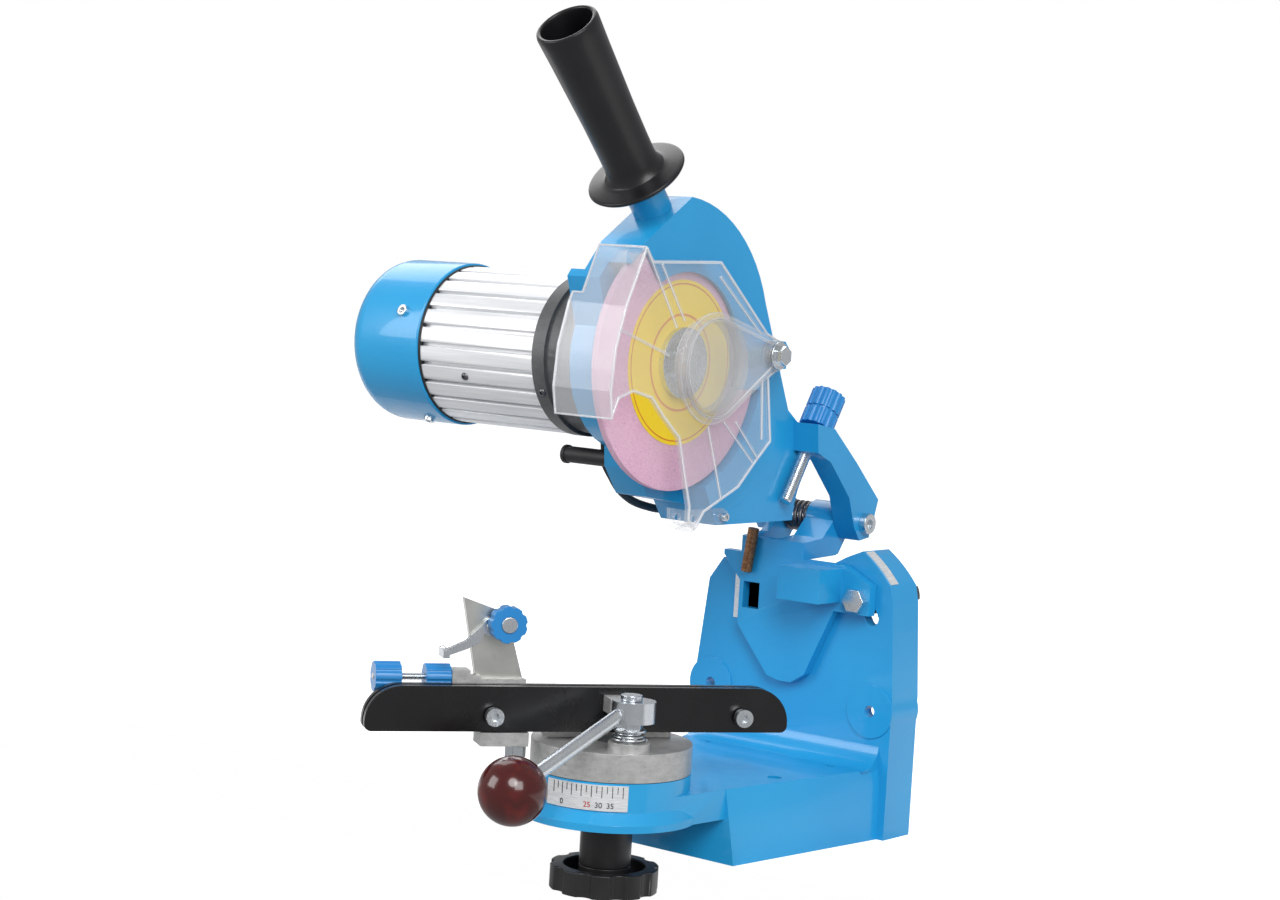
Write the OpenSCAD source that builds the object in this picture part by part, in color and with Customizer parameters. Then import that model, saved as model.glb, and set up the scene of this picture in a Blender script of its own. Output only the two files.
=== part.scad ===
// Bench and wall mounted chain grinder with a swinging, tilting grinding head.
// Origin: centre of the bench bolt pattern, on the foot plane. +X is the user's
// right, the user stands at -Y and looks towards +Y, +Z is up. Millimetres.

/* [Base] */
// Distance from the bench pattern centre forward to the vise axis
vise_reach = 125; // [118:1:135]
// Height of the rail tops, where the chain runs, above the foot plane
chain_height = 97; // [95:1:102]
// Height of the deck above the foot plane
deck_top = 42; // [38:1:46]
// Thickness of the cast walls
wall_t = 5; // [4:0.5:7]
// Front face of the back wall, behind the bench pattern centre
wall_front = 44; // [42:1:48]
// Depth of the back wall with its side flanges
wall_depth = 28; // [24:1:32]
// Half the spacing of the bench bolts across
bench_x = 45; // [36:1:48]
// Half the spacing of the bench bolts front to back
bench_y = 30; // [24:1:31]
// Diameter of the bench bolt holes
bench_hole_d = 8.5; // [6.5:0.5:10]
// Half the spacing of the two wall hanging holes
hang_x = 59; // [56:1:61]
// Height of the wall hanging holes
hang_z = 75; // [72:1:80]
// Diameter of the wall hanging holes
hang_hole_d = 7; // [5:0.5:9]

/* [Vise] */
// Radius of the vise turntable
disc_r = 45; // [42:0.5:47]
// Angle of the vise on its scale, as set
vise_turn = 55.6; // [0:1:60]
// Height of the clamping rails
rail_h = 25; // [22:1:26]
// Thickness of one rail
rail_t = 4.2; // [3:0.1:5]
// Gap between the open rails
rail_gap = 2.8; // [2.6:0.1:3.6]
// Length of the rails to the left of the vise axis
rail_left = 141; // [130:1:150]
// Length of the rails to the right of the vise axis
rail_right = 101; // [95:1:110]
// Diameter of the ball on the clamp lever
ball_d = 37; // [28:1:42]
// Diameter of the clamp lever rod
lever_d = 8; // [6:0.5:9]
// Diameter of the lock knob under the vise
lock_knob_d = 61; // [50:1:68]

/* [Head] */
// Height of the wheel axis above the foot plane, head up
wheel_z = 277; // [272:1:282]
// Distance of the wheel axis in front of the bench pattern centre
wheel_y = 87; // [82:1:90]
// Diameter of the grinding wheel
wheel_d = 145; // [135:1:147]
// Thickness of the grinding wheel
wheel_t = 4.7; // [3.2:0.1:6]
// Bore of the grinding wheel
wheel_bore = 22.2; // [20:0.1:24]
// Distance of the swing hinge behind the bench pattern centre
hinge_y = 78; // [76:0.5:80]
// Height of the swing hinge
hinge_z = 182; // [181:0.5:186]
// Diameter of the hinge shaft
hinge_d = 10; // [8:0.5:12]
// Thickness of the head bracket plate
bracket_t = 6.5; // [5:0.5:6.6]
// Lean of the handle towards the user
handle_lean = 41.5; // [35:0.5:45]
// Length of the handle grip above its hand guard
grip_len = 101; // [85:1:120]
// Diameter of the handle's hand guard
hand_guard_d = 57; // [45:1:64]

/* [Motor] */
// Radius of the finned motor housing over the fins
motor_r = 46.5; // [44:0.5:47.5]
// Number of cooling fins round the motor housing
fins = 26; // [18:1:30]
// Distance from the wheel plane to the motor end flange
motor_start = 67; // [65:1:72]
// Distance from the wheel plane to the end cap
cap_start = 155; // [145:1:165]
// Depth of the end cap
cap_depth = 59; // [50:1:70]
// Diameter of the rotor shaft
shaft_d = 14; // [12:0.5:15]

/* [Cord] */
// Diameter of the mains cord
cord_d = 6.4; // [5:0.1:7]

/* [Hidden] */
$fn = 64;
eps = 0.01;
run_fit = 0.05;      // radial clearance of a shaft in its bore
part_gap = 0.3;      // gap between curved or sliding faces of different bodies
drill_gap = 0.25;    // radial clearance of a screw in a drilled hole

// colours
blue = "#2f97d8";
steel = "#b9bec2";
black = "#1d1d1f";
grey = "#8d9093";

// base
front_step = -vise_reach + disc_r - 2;
wall_back = wall_front + wall_depth;
boss_base_z = 25;
boss_top_z = 51;
boss_base_r = disc_r + 4.8;
plate_t = 7;
tilt_z = chain_height;
horn_r = 86;
lock_r = 65.5;
lock_angle = 41.5;
tilt_range = 10;
hang_boss_r = 16;
pivot_d = 12;

// vise
rail_top = chain_height;
rail_bottom = rail_top - rail_h;
rail_in = rail_gap / 2;
rail_out = rail_in + rail_t;
disc_z = boss_top_z + part_gap;
disc_top = rail_bottom - 5;
bolt_y = -32;
clamp_d = 10;
hub_r = 12;
hub_z = rail_bottom + 11;
hub_h = 11.5;
cam_throw = 1.6;
cam_start = 10;      // how far the cam lobe stands off the rail line, lever open
cam_gap = 0.3;
nut_h = 4;
washer_h = 1.2;
lever_len = 91;
lever_azimuth = 207;
lever_drop = 24.7;
lever_start = 9.5;
rail_screw_left = -70.4;
rail_screw_right = 73.1;
rail_screw_z = rail_top - 16;
rail_screw_d = 5;
knob_top_z = -3.2;
knob_h = 13.5;
sleeve_r = 14.5;

// chain stop
stop_x = -63;        // middle of the carriage along the rails
stop_w = 27;
stop_play = 3;       // travel of the column on the carriage, each way
carriage_t = 5;
column_t = 6;
carriage_y = rail_out + part_gap;
column_y = carriage_y + carriage_t + 0.02;
column_mid = column_y + column_t / 2;
ear_x = stop_x - stop_w / 2 - stop_play - 1.6;
ear_w = 10;
fine_z = rail_top + 1.8;
fine_d = 4;
pawl_x = stop_x - 7;
pawl_z = rail_top + 30.3;
column_knob_x = stop_x + 0.6;
column_knob_z = rail_top + 33;

// head
wheel_r = wheel_d / 2;
hood_off_y = -8.3;
hood_off_z = 5.8;
hood_r = wheel_r + 14.5;
cavity_r = wheel_r + 2.2;
hood_left = -24.4;
web_in = 3.6;         // inner face of the hood's right web
arm_left = -34;
arm_right = 6;
cavity_left = -11;
cheek_l0 = -52;
cheek_l1 = -37.3;
cheek_r0 = 9.3;
cheek_r1 = 24;
lug_l0 = -37;
lug_l1 = -31;
lug_r0 = -12;
lug_r1 = 9;
lug_r = 11;
sweep_r = 51;
depth_x = 11;
depth_lean = 31.5;
depth_tip_y = 11.6;
depth_tip_z = 196;
depth_len = 62;
depth_d = 8;
stop_block_top = 158;
handle_x = -12;
handle_y = -wheel_y - 19;
handle_z = wheel_z + 89;
handle_boss = 12;
guard_left = -20;
guard_right = 18;
guard_t = 2.2;
guard_bolt_y = -wheel_y + 63.2;
guard_bolt_z = wheel_z + 6;
motor_bore_r = 40;
carrier_start = cap_start + 9;   // rear bearing carrier
carrier_w = 11;
peg_y = -98;
peg_z = 219.5;
lead_d = 4.8;
gland_x = -48;
gland_z = 20;
gland_len = 30;

// mains cord route: hand chosen points, in order from the gland to the coil
cord_route = [[-48, 81, 20], [-48, 90, 20], [-48, 102, 17.5], [-48, 114, 11.5], [-48, 126, 6],
    [-48, 137, 3.6], [-48, 147, 3.2], [-48, 154, 3.2]];
// motor lead route: hangs from the motor flange and runs under the arm to the switch
lead_route = [[-50, -84, 223], [-50, -84, 216], [-46, -82, 208], [-45, -75, 200], [-45, -63, 193.5],
    [-45, -48, 189.5], [-45, -34, 187.5], [-44.5, -22, 188.8], [-43.5, -13, 193.5], [-43, -10, 201]];

function arc(cx, cy, r, a0, a1, n = 12) =
    [for (i = [0 : n]) let (a = a0 + (a1 - a0) * i / n) [cx + r * cos(a), cy + r * sin(a)]];
function unit(v) = v / norm(v);

// A YZ outline extruded along X from x0 to x1
module side(x0, x1) {
    translate([x0, 0, 0]) rotate([90, 0, 90]) linear_extrude(x1 - x0) children();
}
// An XZ outline extruded along Y from y0 to y1
module front(y0, y1) {
    translate([0, y1, 0]) rotate([90, 0, 0]) linear_extrude(y1 - y0) children();
}
module rod_x(x0, x1, r) {
    translate([x0, 0, 0]) rotate([0, 90, 0]) cylinder(r = r, h = x1 - x0);
}
module rod_y(y0, y1, r) {
    translate([0, y0, 0]) rotate([-90, 0, 0]) cylinder(r = r, h = y1 - y0);
}
module hex(r, h) {
    cylinder(r = r, h = h, $fn = 6);
}
module socket_head(r, h) {
    difference() {
        cylinder(r = r, h = h);
        translate([0, 0, h - h * 0.55]) cylinder(r = r * 0.5, h = h, $fn = 6);
    }
}
// Scalloped hand knob along +Z with a bore
module star_knob(r, h, lobes, bore_r) {
    difference() {
        cylinder(r = r, h = h);
        for (i = [0 : lobes - 1]) rotate(i * 360 / lobes)
            translate([r * 1.12, 0, -eps]) cylinder(r = r * 0.2, h = h + 2 * eps, $fn = 24);
        translate([0, 0, -eps]) cylinder(r = bore_r, h = h + 2 * eps);
    }
}
// One unbroken round tube swept along points; its end faces can be turned
// square to what they meet
module swept_tube(pts, r, sides, start_dir, end_dir) {
    n = len(pts);
    dirs = [for (i = [0 : n - 1])
        i == 0 && start_dir != undef ? start_dir :
        i == n - 1 && end_dir != undef ? end_dir :
        unit(pts[min(i + 1, n - 1)] - pts[max(i - 1, 0)])];
    rings = [for (i = [0 : n - 1])
        let (t = dirs[i],
             a = unit(cross(t, abs(t[2]) > 0.9 ? [1, 0, 0] : [0, 0, 1])),
             b = cross(t, a))
        for (k = [0 : sides - 1]) pts[i] + r * (a * cos(360 * k / sides) + b * sin(360 * k / sides))];
    polyhedron(
        points = concat([pts[0]], rings, [pts[n - 1]]),
        faces = concat(
            [for (k = [0 : sides - 1]) [0, 1 + k, 1 + (k + 1) % sides]],
            [for (i = [0 : n - 2]) for (k = [0 : sides - 1])
                [1 + i * sides + k, 1 + (i + 1) * sides + k, 1 + (i + 1) * sides + (k + 1) % sides]],
            [for (i = [0 : n - 2]) for (k = [0 : sides - 1])
                [1 + i * sides + k, 1 + (i + 1) * sides + (k + 1) % sides, 1 + i * sides + (k + 1) % sides]],
            [for (k = [0 : sides - 1])
                [1 + n * sides, 1 + (n - 1) * sides + (k + 1) % sides, 1 + (n - 1) * sides + k]]));
}
// Smooth curve through the route's points (Catmull-Rom), steps per span
function at_route(p, i, u) =
    let (n = len(p), a = p[max(i - 1, 0)], b = p[i], c = p[i + 1], d = p[min(i + 2, n - 1)])
    0.5 * ((2 * b) + (c - a) * u + (2 * a - 5 * b + 4 * c - d) * u * u
        + (3 * b - a - 3 * c + d) * u * u * u);
function smooth_route(p, steps) = concat(
    [for (i = [0 : len(p) - 2]) for (k = [0 : steps - 1]) at_route(p, i, k / steps)],
    [p[len(p) - 1]]);

// Places things in the vise's own frame: X along the rails, -Y to the lever
module on_vise() {
    translate([0, -vise_reach, 0]) rotate(vise_turn) children();
}
module on_wheel_axis() {
    translate([0, -wheel_y, wheel_z]) children();
}
module on_hinge() {
    translate([0, hinge_y, hinge_z]) children();
}

/* ---- base ---- */
module foot_outline(grow) {
    polygon([[-57 - grow, front_step], [57 + grow, front_step],
        [72 + grow, wall_back], [-72 - grow, wall_back]]);
}
module deck_outline(grow) {
    polygon([[-49 - grow, front_step], [49 + grow, front_step], [61 + grow, 0],
        [71 + grow, wall_back], [-71 - grow, wall_back], [-61 - grow, 0]]);
}
module wall_outline() {
    polygon(concat([[74, 0], [74, 84], [70, 140]],
        arc(0, tilt_z, horn_r, 38, 57, 6),
        [[36, 164.5], [24, 158], [16, 150], [-48, 150], [-55, 154], [-65, 140], [-71, 86], [-74, 76], [-74, 0]]));
}
module wall_inner() {
    polygon(concat([[69, -1], [69, 82], [66.5, 134]], arc(0, tilt_z, horn_r - wall_t, 39, 54, 5),
        [[38, 159.5], [26, 152], [19, 145], [-52, 145], [-60, 137], [-66, 84], [-69, 74], [-69, -1]]));
}
module tilt_slot(r_half, y0, y1) {
    span = tilt_range + 1;
    translate([0, 0, tilt_z]) {
        for (a = [-span, span]) rotate([0, -lock_angle - a, 0])
            translate([lock_r, 0, 0]) rod_y(y0, y1, r_half + 0.06);
        rotate([0, -lock_angle - span, 0]) translate([0, y1, 0]) rotate([90, 0, 0])
            rotate_extrude(angle = -2 * span) translate([lock_r - r_half, 0])
                square([2 * r_half, y1 - y0]);
    }
}
module base() {
    color(blue) difference() {
        union() {
            // drafted foot box
            hull() {
                linear_extrude(1) foot_outline(0);
                translate([0, 0, deck_top - 1]) linear_extrude(1) deck_outline(0);
            }
            // nose under the vise
            translate([0, -vise_reach, 0]) rotate_extrude()
                polygon([[0, boss_base_z], [boss_base_r, boss_base_z], [boss_base_r, boss_base_z + 4],
                    [disc_r, boss_top_z - 16], [disc_r, boss_top_z], [0, boss_top_z]]);
            translate([0, 0, boss_base_z]) linear_extrude(deck_top - boss_base_z)
                polygon([[-45, -vise_reach], [45, -vise_reach], [49, front_step + 1],
                    [-49, front_step + 1]]);
            // back wall
            front(wall_front, wall_back) wall_outline();
            for (s = [-1, 1]) translate([s * hang_x, 0, hang_z]) rod_y(wall_front - 0.8, wall_back, hang_boss_r);
        }
        // hollow under the deck
        difference() {
            hull() {
                translate([0, 0, -1]) linear_extrude(1)
                    polygon([[-57 + wall_t, front_step + wall_t], [57 - wall_t, front_step + wall_t],
                        [72 - wall_t, wall_back + 1], [-72 + wall_t, wall_back + 1]]);
                translate([0, 0, deck_top - wall_t - 1]) linear_extrude(1)
                    polygon([[-49 + wall_t, front_step + wall_t], [49 - wall_t, front_step + wall_t],
                        [61 - wall_t, 0], [71 - wall_t, wall_back + 1], [-71 + wall_t, wall_back + 1],
                        [-61 + wall_t, 0]]);
            }
            // bench bolt pillars stay
            for (sx = [-1, 1], sy = [-1, 1]) translate([sx * bench_x, sy * bench_y, -2])
                cylinder(r = bench_hole_d / 2 + 6, h = deck_top);
            // the back wall runs down to the foot
            translate([-80, wall_front, -2]) cube([160, plate_t, deck_top]);
        }
        // hollow behind the back wall
        front(wall_front + plate_t, wall_back + 1) wall_inner();
        for (s = [-1, 1]) translate([s * hang_x, 0, hang_z]) {
            rod_y(wall_front - 4, wall_back, hang_hole_d / 2);
            rod_y(wall_front + plate_t, wall_back + 1, hang_boss_r - 4.5);
        }
        // bench bolt holes
        for (sx = [-1, 1], sy = [-1, 1]) translate([sx * bench_x, sy * bench_y, -1])
            cylinder(r = bench_hole_d / 2, h = deck_top + 2);
        // vise pivot bore and the underside of the nose
        translate([0, -vise_reach, boss_base_z - 1]) {
            cylinder(r = pivot_d / 2 + run_fit, h = boss_top_z);
            difference() {
                cylinder(r = disc_r - 4, h = 13);
                cylinder(r = sleeve_r + 3, h = 14);
            }
        }
        // tilt pivot and tilt lock slot
        translate([0, 0, tilt_z]) rod_y(wall_front - 1, wall_back, 4 + run_fit);
        tilt_slot(4.3, wall_front - 1, wall_front + plate_t + 1);
        // hole of the cord gland
        translate([gland_x, 0, gland_z]) rod_y(wall_front - 1, wall_front + plate_t + 1, 5.55);
    }
}
module scale_plates() {
    color("#c9cdd0") {
        // degree scale on the nose, under the vise
        translate([0, -vise_reach, boss_top_z - 15]) rotate(-98) rotate_extrude(angle = 60)
            translate([disc_r, 0]) square([0.8, 14]);
        // degree scale on the wall's curved corner
        translate([0, wall_front + 1, tilt_z]) rotate([90, 0, 0]) rotate([0, 0, 39])
            translate([0, 0, -8]) rotate_extrude(angle = 17) translate([horn_r, 0]) square([0.8, 7.5]);
    }
}
module vise_pivot_bolt() {
    color(steel) translate([0, -vise_reach, 0]) {
        translate([0, 0, knob_top_z - knob_h + 1.5]) cylinder(r = pivot_d / 2, h = disc_top - 6 - knob_top_z + knob_h - 1.5);
        translate([0, 0, disc_top - 6]) hex(10, 5.5);
    }
}
module lock_sleeve() {
    color(black) translate([0, -vise_reach, knob_top_z]) difference() {
        cylinder(r = sleeve_r, h = boss_base_z - knob_top_z);
        translate([0, 0, -1]) cylinder(r = pivot_d / 2 + run_fit, h = 60);
    }
}
module lock_knob() {
    color(black) translate([0, -vise_reach, knob_top_z - knob_h]) difference() {
        star_knob(lock_knob_d / 2, knob_h, 10, pivot_d / 2 + run_fit);
        translate([0, 0, knob_h - 9]) difference() {
            cylinder(r = lock_knob_d / 2 - 7.5, h = 10);
            cylinder(r = sleeve_r, h = 10);
        }
    }
}

/* ---- vise ---- */
module vise_body() {
    color(grey) on_vise() difference() {
        union() {
            translate([0, 0, disc_z]) cylinder(r = disc_r, h = disc_top - disc_z);
            // block behind the rear rail
            translate([-36, rail_out, disc_top - eps]) cube([72, 13, rail_h * 0.72 + 5]);
            // pillar of the clamp bolt
            translate([0, bolt_y, disc_top - eps]) cylinder(r = 11.5, h = 5);
        }
        translate([0, 0, disc_z - 1]) cylinder(r = pivot_d / 2 + run_fit, h = 60);
        translate([0, 0, disc_top - 6 - drill_gap]) cylinder(r = 10.3, h = 12);
        translate([0, bolt_y, disc_z - 1]) cylinder(r = clamp_d / 2 + run_fit, h = 60);
        for (x = [-26, 26]) translate([x, 0, rail_bottom + 8]) rod_y(rail_out - 1, 60, 2.6);
    }
}
module rail_outline() {
    difference() {
        union() {
            translate([-rail_left, rail_bottom]) square([rail_left + rail_right, rail_h]);
        }
        // big upper corners
        difference() {
            translate([-rail_left - 1, rail_top - 20]) square([21, 21]);
            translate([-rail_left + 20, rail_top - 20]) circle(r = 20);
        }
        difference() {
            translate([rail_right - 20, rail_top - 20]) square([21, 21]);
            translate([rail_right - 20, rail_top - 20]) circle(r = 20);
        }
        // small lower corners
        difference() {
            translate([-rail_left - 1, rail_bottom - 1]) square([5, 5]);
            translate([-rail_left + 4, rail_bottom + 4]) circle(r = 4);
        }
        difference() {
            translate([rail_right - 4, rail_bottom - 1]) square([5, 5]);
            translate([rail_right - 4, rail_bottom + 4]) circle(r = 4);
        }
    }
}
module rear_rail() {
    color(black) on_vise() difference() {
        front(rail_in, rail_out) rail_outline();
        for (x = [rail_screw_left, rail_screw_right]) translate([x, 0, rail_screw_z])
            rod_y(rail_in - 1, rail_out + 1, rail_screw_d / 2 + 0.02);
        for (x = [-26, 26]) translate([x, 0, rail_bottom + 8]) rod_y(rail_in - 1, rail_out + 1, 2.6);
    }
}
module front_rail() {
    color(black) on_vise() difference() {
        front(-rail_out, -rail_in) rail_outline();
        for (x = [rail_screw_left, rail_screw_right]) translate([x, 0, rail_screw_z])
            rod_y(-rail_out - 1, -rail_in + 1, rail_screw_d / 2 + run_fit);
    }
}
// Guide screws of the front rail, tapped into the rear rail, and the rear rail's screws
module rail_screws() {
    color(steel) on_vise() {
        for (x = [rail_screw_left, rail_screw_right]) translate([x, 0, rail_screw_z]) {
            rod_y(-rail_out - 1.8, rail_out - 0.1, rail_screw_d / 2);
            translate([0, -rail_out - 1.8, 0]) rotate([90, 0, 0]) socket_head(5, 5);
        }
        for (x = [-26, 26]) translate([x, 0, rail_bottom + 8]) {
            rod_y(rail_in + 0.2, rail_out + 13, 2.4);
            translate([0, rail_out + 13, 0]) rotate([-90, 0, 0]) socket_head(4.4, 4.5);
        }
    }
}
module clamp_slide() {
    pad_y = bolt_y + hub_r - cam_throw * sin(cam_start) + cam_gap;
    color(grey) on_vise() translate([-8, pad_y, hub_z + 1]) cube([16, -rail_out - pad_y, 9]);
}
module clamp_bolt() {
    color(steel) on_vise() translate([0, bolt_y, 0]) {
        translate([0, 0, disc_z + 4]) cylinder(r = clamp_d / 2, h = hub_z + hub_h - disc_z - 4);
        translate([0, 0, hub_z + hub_h]) cylinder(r = 6, h = 3.2);
    }
}
// Conical clamp spring: one wire wound in curls
spring_wire = 0.6;
spring_curls = 3;
spring_z0 = disc_top + 5 + spring_wire + 0.1;
spring_z1 = hub_z - nut_h - washer_h - spring_wire - 0.1;
function clamp_spring_path() = [for (i = [0 : 8 * spring_curls])
    let (u = i / (8 * spring_curls), r = 10 - 3.6 * u)
    [r * cos(45 * i), r * sin(45 * i), spring_z0 + (spring_z1 - spring_z0) * u]];
module clamp_spring() {
    color(steel) on_vise() translate([0, bolt_y, 0]) swept_tube(clamp_spring_path(), spring_wire, 6);
}
module clamp_nut_and_washer() {
    color(steel) on_vise() translate([0, bolt_y, hub_z - nut_h - washer_h]) {
        difference() {
            union() {
                cylinder(r = 9, h = washer_h);
                translate([0, 0, washer_h]) hex(7.6, nut_h - part_gap);
            }
            translate([0, 0, -1]) cylinder(r = clamp_d / 2 + run_fit, h = 20);
        }
    }
}
module on_lever() {
    on_vise() translate([0, bolt_y, hub_z + 8]) rotate(lever_azimuth) rotate([0, lever_drop, 0]) children();
}
module lever_hub() {
    color(steel) difference() {
        on_vise() translate([0, bolt_y, hub_z]) difference() {
            rotate(-cam_start) translate([cam_throw, 0, 0]) cylinder(r = hub_r, h = hub_h);
            translate([0, 0, -1]) cylinder(r = clamp_d / 2 + run_fit, h = 20);
        }
        on_lever() translate([lever_start - 0.1, 0, 0]) rod_x(0, 30, lever_d / 2 + 0.02);
    }
}
module lever_rod() {
    color(steel) on_lever() rod_x(lever_start, lever_len - ball_d / 2 + 10, lever_d / 2);
}
module lever_ball() {
    color("#7a1712") on_lever() difference() {
        translate([lever_len, 0, 0]) sphere(r = ball_d / 2);
        rod_x(lever_len - ball_d, lever_len - ball_d / 2 + 10, lever_d / 2 + 0.02);
    }
}

/* ---- chain stop ---- */
module stop_carriage() {
    color(grey) on_vise() difference() {
        union() {
            translate([stop_x - stop_w / 2, carriage_y, rail_bottom - 8])
                cube([stop_w, carriage_t, rail_h + 10]);
            // foot that reaches under the rails
            translate([stop_x - stop_w / 2, -rail_out - 1, rail_bottom - 8])
                cube([stop_w, 2 * rail_out + 2, 7.5]);
            // block of the fine screw
            translate([ear_x - ear_w, carriage_y, fine_z - 5]) cube([ear_w, column_y + column_t - carriage_y, 10]);
            translate([ear_x - eps, carriage_y, fine_z - 5]) cube([stop_play + 3, carriage_t, 7]);
        }
        translate([ear_x - ear_w - 1, column_mid, fine_z]) rod_x(0, ear_w + 2, fine_d / 2 + run_fit);
        translate([stop_x + 8, 0, rail_bottom - 10]) cylinder(r = 2.55, h = 12);
        translate([stop_x, 0, rail_bottom + 8]) rod_y(rail_out, column_y + 1, 2.05);
    }
}
module column_outline() {
    polygon([[stop_x - 13.5, rail_bottom + 3], [stop_x - 13.5, rail_top + 0.7], [stop_x - 22.6, rail_top + 46],
        [stop_x + 5, rail_top + 36.5], [stop_x + 6.5, rail_top + 22.3], [stop_x + 13.5, rail_top - 1.3],
        [stop_x + 13.5, rail_bottom + 3]]);
}
module stop_column() {
    color(steel) on_vise() difference() {
        union() {
            front(column_y, column_y + column_t) column_outline();
            // riveted pin of the pawl
            translate([pawl_x, 0, pawl_z]) {
                rod_y(column_y - 3.2, column_y + 1, 1.5);
                rod_y(column_y - 3.8, column_y - 2.9, 3);
            }
        }
        // seat of the fine screw's tip
        translate([stop_x - 14, column_mid, fine_z]) rod_x(-1, 8, fine_d / 2 + run_fit);
        // slot of the guide screw
        for (x = [-stop_play - 0.2, stop_play + 0.2]) translate([stop_x + x, 0, rail_bottom + 8])
            rod_y(column_y - 1, column_y + column_t + 1, 3.1);
        translate([stop_x - stop_play - 0.2, column_y - 1, rail_bottom + 8 - 3.1])
            cube([2 * stop_play + 0.4, column_t + 2, 6.2]);
        translate([column_knob_x, 0, column_knob_z]) rod_y(column_y - 1, column_y + 4, 2.45);
    }
}
// Pawl: plate on the column with a finger bent over the gap between the rails
module stop_pawl() {
    color(steel) on_vise() translate([pawl_x, column_y - 2.7, pawl_z]) difference() {
        union() {
            rod_y(0, 2.4, 5);
            front(0, 2.4) polygon([[-4, -3.5], [2, -4.5], [3.5, 3], [-2, 4.4], [-14, -7.4], [-25, -12.5],
                [-26, -10.5], [-28.5, -11], [-28.5, -16], [-24.5, -16.4], [-13, -12.2], [-6, -8.5]]);
            translate([-28.5, -column_y + 1.5, -16]) cube([3.6, column_y + 0.2, 4.6]);
        }
        rod_y(-3, 5, 1.55);
    }
}
module column_knob() {
    color(blue) on_vise() translate([column_knob_x, column_y - 4, column_knob_z]) rotate([90, 0, 0])
        star_knob(10.3, 8, 9, 4.52);
}
module column_stud() {
    color(steel) on_vise() translate([column_knob_x, column_y, column_knob_z]) {
        rod_y(-13, -3.4, 4.5);
        rod_y(-3.5, 3.9, 2.4);
    }
}
module fine_screw() {
    color(steel) on_vise() translate([0, column_mid, fine_z])
        rod_x(stop_x - 71, stop_x - 6.5, fine_d / 2);
}
module fine_knob() {
    color(blue) on_vise() translate([stop_x - 70.5, column_mid, fine_z])
        rotate([0, 90, 0]) star_knob(8.4, 14.5, 9, fine_d / 2 + 0.02);
}
module fine_lock_nut() {
    color(blue) on_vise() translate([ear_x - ear_w - 14.1, column_mid, fine_z])
        rotate([0, 90, 0]) star_knob(7.4, 14, 9, fine_d / 2 + 0.02);
}
// Clamp screw under the rails and the column's guide screw
module carriage_screws() {
    color(steel) on_vise() {
        translate([stop_x + 8, 0, rail_bottom - 15]) {
            cylinder(r = 2.5, h = 14.6);
            hex(6, 6.8);
        }
        translate([stop_x, 0, rail_bottom + 8]) {
            rod_y(carriage_y + 0.5, column_y, 2);
            rod_y(column_y - 0.02, column_y + column_t + 0.3, 3);
            rod_y(column_y + column_t + 0.3, column_y + column_t + 3, 5);
        }
    }
}

/* ---- head bracket ---- */
module bracket_outline() {
    polygon([[-4, 85], [5, 85], [14.5, 91], [33, 132], [58, 132], [58, 150], [38, 160], [-50, 160],
        [-50, 157], [-37, 142.5], [-37, 115.5], [-12.5, 87]]);
}
module head_bracket() {
    y1 = wall_front - part_gap;
    y0 = y1 - bracket_t;
    color(blue) difference() {
        union() {
            front(y0, y1) bracket_outline();
            // raised neck inside the arm's channel
            front(y0, y1) polygon([[lug_l0, 150], [lug_l0, 170], [lug_r1, 170], [lug_r1, 150]]);
            // hinge lugs over the wall's top
            for (p = [[lug_l0, lug_l1], [lug_r0, lug_r1]]) {
                side(p[0], p[1]) polygon([[y0, 160], [hinge_y - 4, 160.5 + 1], [hinge_y + lug_r, hinge_z],
                    [hinge_y - 1, hinge_z + lug_r - 1], [hinge_y - 22, 172], [y0, 170]]);
                on_hinge() rod_x(p[0], p[1], lug_r);
            }
            side(lug_l0, lug_r1) polygon([[y0, 159.5], [hinge_y - 6, 161], [hinge_y - 6, 165], [y0, 165]]);
            // stop block for the depth screw
            translate([cheek_r0 - 2, 14, stop_block_top - 20]) cube([30, y0 - 14 + 1, 20]);
        }
        on_hinge() rod_x(lug_l0 - 1, lug_r1 + 1, hinge_d / 2 + run_fit);
        // blind seat of the pivot bolt
        translate([0, 0, tilt_z]) rod_y(y0 + 1.4, y1 + 1, 4 + 0.02);
        translate([0, 0, tilt_z]) rotate([0, -lock_angle, 0]) translate([lock_r, 0, 0])
            rod_y(y0 - 6, y1 + 1, 4 + run_fit);
        // scale window
        translate([-34, y0 - 1, 126]) cube([12, bracket_t + 2, 16]);
    }
}
module tilt_pivot_bolt() {
    y0 = wall_front - part_gap - bracket_t;
    color(steel) translate([0, 0, tilt_z]) {
        rod_y(y0 + 1.6, wall_front + plate_t + 1, 4);
        translate([0, wall_front + plate_t + 0.05, 0]) rotate([-90, 0, 0]) hex(7.5, 5.5);
    }
}
module on_lock_bolt() {
    translate([lock_r * cos(lock_angle), 0, tilt_z + lock_r * sin(lock_angle)]) children();
}
module tilt_lock_bolt() {
    y0 = wall_front - part_gap - bracket_t;
    color(steel) on_lock_bolt() {
        rod_y(y0, wall_back + 12, 4);
        translate([0, y0, 0]) rotate([90, 0, 0]) hex(7.5, 5);
    }
}
module tilt_lock_knob() {
    color("#3a3c3f") on_lock_bolt() translate([0, wall_front + plate_t + part_gap, 0]) rotate([-90, 0, 0]) {
        difference() {
            union() {
                cylinder(r = 9, h = wall_depth - plate_t);
                translate([0, 0, wall_depth - plate_t]) cylinder(r = 15, h = 11);
            }
            translate([0, 0, -1]) cylinder(r = 4 + run_fit, h = 60);
            for (i = [0 : 5]) rotate(i * 60 + 15) translate([17, 0, wall_depth - plate_t - eps])
                cylinder(r = 4.5, h = 12, $fn = 24);
        }
    }
}

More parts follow.
